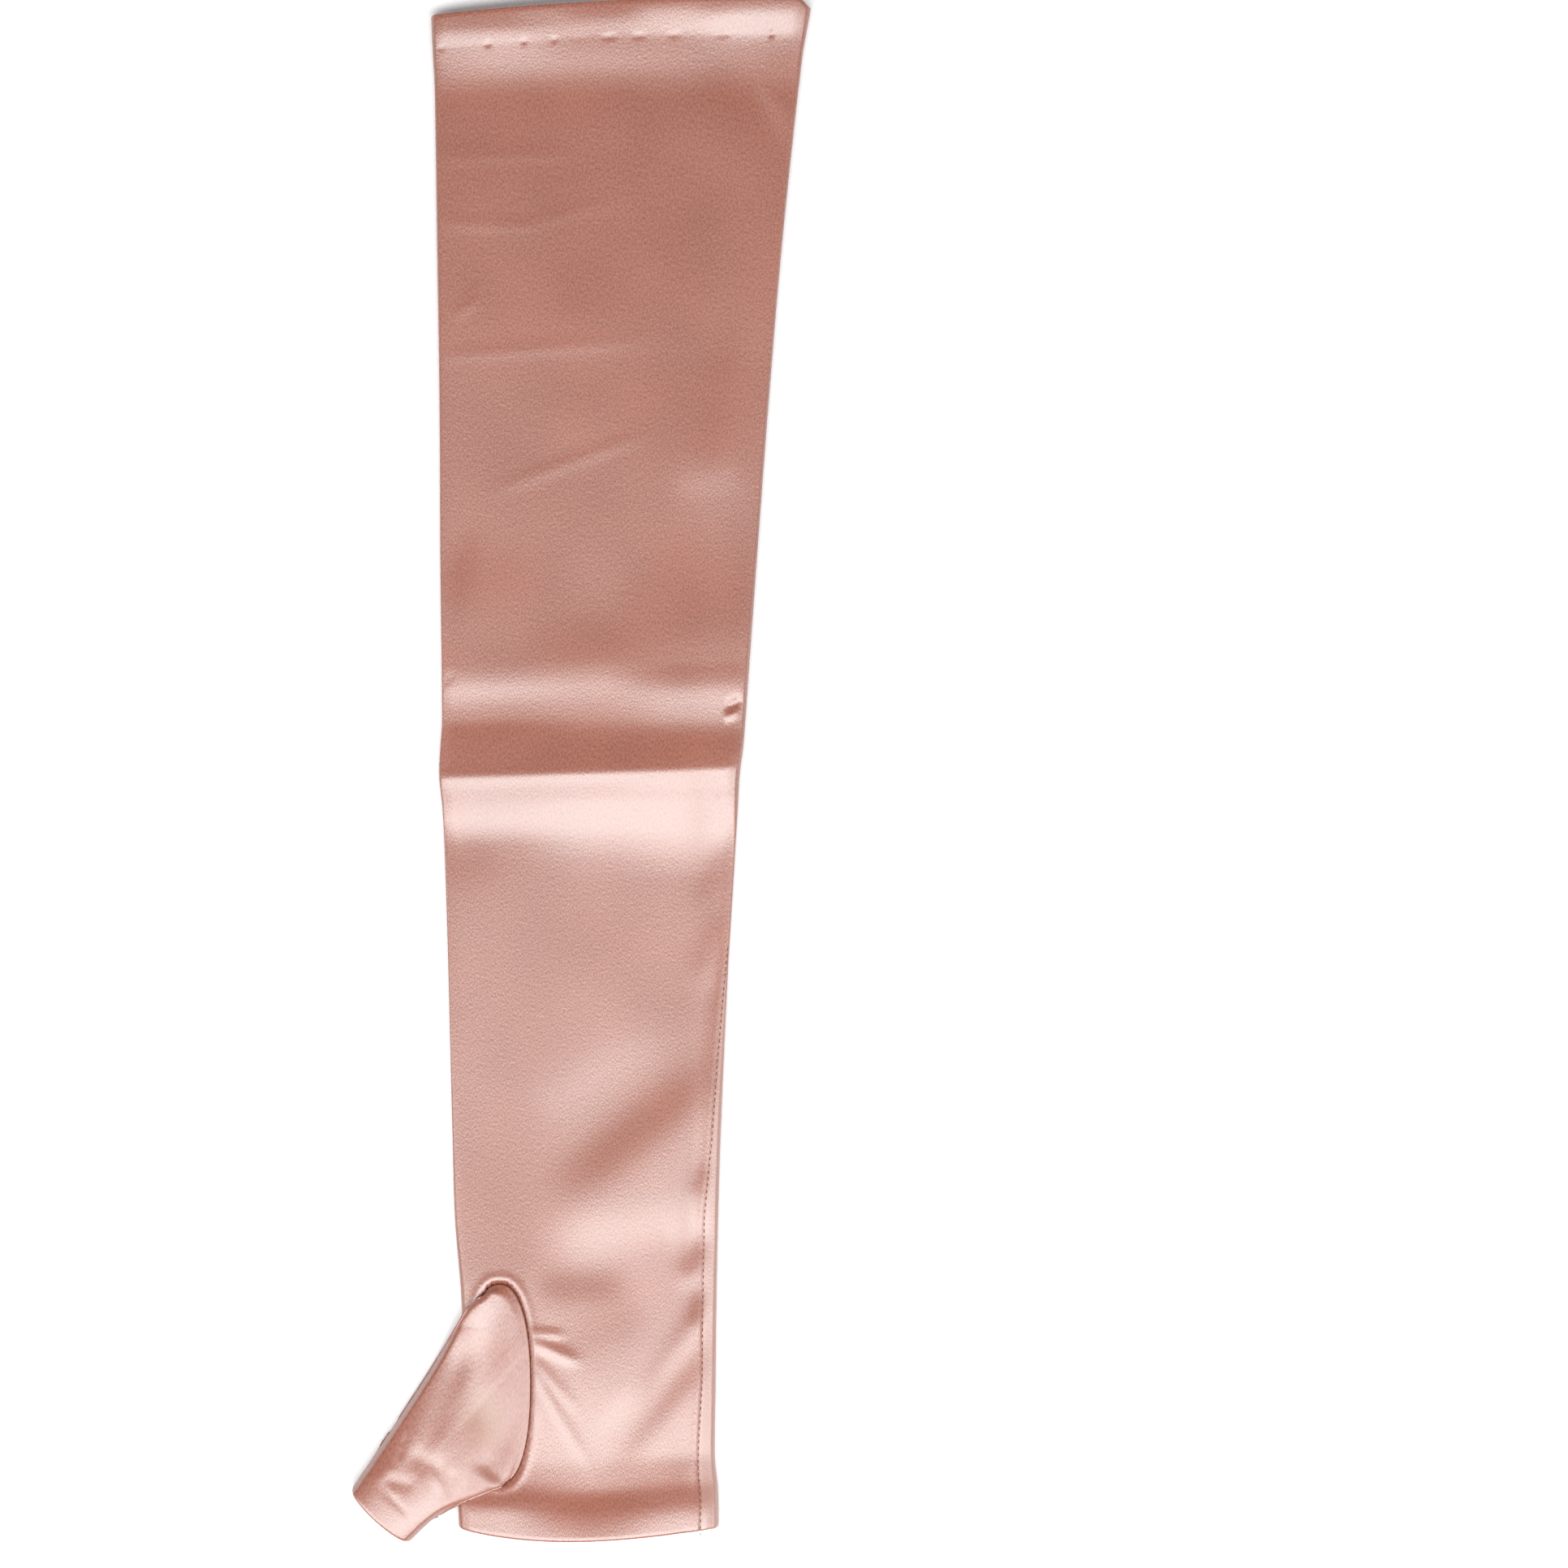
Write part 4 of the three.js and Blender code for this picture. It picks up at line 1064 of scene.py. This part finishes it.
def stitch_along(name, points, tree, pitch, length, radius):
    """Stitches along points in mm, as one plain mesh."""
    mesh = bpy.data.meshes.new(name)
    edges = [(k, k + 1) for k in range(len(points) - 1)]
    mesh.from_pydata((points * MM).tolist(), edges, [])
    piece = bpy.data.objects.new(name, mesh)
    bpy.context.scene.collection.objects.link(piece)
    modifier = piece.modifiers.new("stitches", "NODES")
    modifier.node_group = tree
    values = {"Pitch": pitch, "Stitch length": length, "Thread radius": radius}
    for item in tree.interface.items_tree:
        if item.in_out == "INPUT" and item.name in values:
            modifier[item.identifier] = values[item.name] * MM
    made = applied(piece, modifier)
    made.polygons.foreach_set("use_smooth", [True] * len(made.polygons))
    print(name, len(made.polygons), "faces")
    return piece


# %% The thread and its paths
THREAD_DEEP, THREAD_PALE = (0.13, 0.035, 0.022, 1), (0.26, 0.08, 0.055, 1)
THREAD_GRAIN, THREAD_ROUGHNESS = 900.0, 0.5
thread = bpy.data.materials.new("silk thread")
thread.use_nodes = True
thread_shader = thread.node_tree.nodes["Principled BSDF"]
twist = thread.node_tree.nodes.new("ShaderNodeTexNoise")
twist.inputs["Scale"].default_value = THREAD_GRAIN
tint = thread.node_tree.nodes.new("ShaderNodeValToRGB")
tint.color_ramp.elements[0].color = THREAD_DEEP
tint.color_ramp.elements[1].color = THREAD_PALE
thread.node_tree.links.new(twist.outputs["Fac"], tint.inputs["Fac"])
thread.node_tree.links.new(tint.outputs["Color"], thread_shader.inputs["Base Color"])
thread_shader.inputs["Roughness"].default_value = THREAD_ROUGHNESS
STITCHES = stitch_tree(thread)


def laid_on_sleeve(x, y, lift):
    """A path over the upper layer of the sleeve, lifted by a little, in mm."""
    return np.stack([x, y, top_height_at(x, y) + lift], axis=-1)


# %% The side seam's stitches
SIDE_PATH_ENDS, SIDE_PATH_POINTS, SIDE_LIFT = (-279, -66), 320, 0.12
seam_y = np.linspace(*SIDE_PATH_ENDS, SIDE_PATH_POINTS)
seam_at = (seam_y + HALF_LENGTH) / ARM_LENGTH
seam_from_edge = np.interp(seam_y, SEAM_PATH[:, 0], SEAM_PATH[:, 1])
seam_x = sleeve_left(seam_at) + sleeve_width(seam_at) - seam_from_edge
side_stitches = stitch_along("side_seam_stitches", laid_on_sleeve(seam_x, seam_y, SIDE_LIFT),
                             STITCHES, pitch=2.4, length=1.4, radius=0.18)

# %% The thumb seam's stitches
OVAL_PATH_ENDS, OVAL_PATH_POINTS, OVAL_PATH_OUT, OVAL_LIFT = (0.03, 0.97), 260, 0.35, 0.15
turns = FOLD_TURN - np.linspace(*OVAL_PATH_ENDS, OVAL_PATH_POINTS) * math.pi
oval_x, oval_y = oval_point(turns, -OVAL_PATH_OUT).T
thumb_stitches = stitch_along("thumb_seam_stitches", laid_on_sleeve(oval_x, oval_y, OVAL_LIFT),
                              STITCHES, pitch=2.2, length=1.5, radius=0.17)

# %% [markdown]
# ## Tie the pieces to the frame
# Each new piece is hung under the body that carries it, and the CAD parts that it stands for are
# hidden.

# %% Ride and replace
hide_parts("arm_sleeve", "arm_hem", "hand_hem")
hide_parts("thumb_stall", "thumb_hem")
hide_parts("side_seam")
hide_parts("thumb_seam")
for piece, name in ((sleeve, "satin"), (thumb, "satin"), (side_strip, "satin_wrong_side"),
                    (thumb_strip, "satin_wrong_side"), (side_stitches, "satin_wrong_side"),
                    (thumb_stitches, "satin_wrong_side")):
    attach(piece, "root")

# %% [markdown]
# ## Floor, light and camera
# The light is one large softbox above the hand's side, so slopes that face the hand shine.
# A weak fill from the other side lifts the dark folds and makes no highlights. The camera
# looks straight down from 2.4 m, a little to one side.

# %% The stage
floor_mesh = bpy.data.meshes.new("floor")
FLOOR_REACH, FLOOR_DROP = 4.0, 0.0002
corners = [(x * FLOOR_REACH, y * FLOOR_REACH, -FLOOR_DROP)
           for x, y in ((-1, -1), (1, -1), (1, 1), (-1, 1))]
floor_mesh.from_pydata(corners, [], [(0, 1, 2, 3)])
floor = bpy.data.objects.new("floor", floor_mesh)
bpy.context.scene.collection.objects.link(floor)
pale = bpy.data.materials.new("pale floor")
pale.use_nodes = True
for socket, value in (("Base Color", (0.93, 0.93, 0.93, 1)), ("Roughness", 0.9),
                      ("Specular IOR Level", 0.1)):
    pale.node_tree.nodes["Principled BSDF"].inputs[socket].default_value = value
floor_mesh.materials.append(pale)


# %% The lights
LAMP_X, WORLD_STRENGTH = 0.03, 0.11


def softbox(name, angle, distance, width, depth, watts):
    """An area light tilted from straight above towards the hand's side by angle."""
    light = bpy.data.lights.new(name, "AREA")
    light.shape = "RECTANGLE"
    light.size, light.size_y, light.energy = width, depth, watts
    lamp = bpy.data.objects.new(name, light)
    lamp.location = (LAMP_X, -math.sin(math.radians(angle)) * distance,
                     math.cos(math.radians(angle)) * distance)
    lamp.rotation_euler = (-math.radians(angle), 0, 0)
    lamp.visible_camera = False
    bpy.context.scene.collection.objects.link(lamp)
    return lamp


softbox("softbox", angle=27.5, distance=4.0, width=8.0, depth=3.3, watts=535)
fill = softbox("fill", angle=-40.0, distance=4.0, width=5.0, depth=5.0, watts=75)
fill.visible_glossy = False
world = bpy.data.worlds.new("studio")
bpy.context.scene.world = world
world.use_nodes = True
background = world.node_tree.nodes["Background"]
background.inputs["Color"].default_value = (1, 1, 1, 1)
background.inputs["Strength"].default_value = WORLD_STRENGTH
bpy.context.scene.view_settings.view_transform = "Standard"

# %% The camera
CAMERA_LENS, CAMERA_SENSOR, CAMERA_AT = 150, 36, (0.0738, -0.0056, 2.391)
camera_data = bpy.data.cameras.new("camera")
camera_data.lens, camera_data.sensor_width = CAMERA_LENS, CAMERA_SENSOR
camera = bpy.data.objects.new("camera", camera_data)
camera.location = CAMERA_AT
camera.rotation_euler = (0, 0, 0)
bpy.context.scene.collection.objects.link(camera)
bpy.context.scene.camera = camera
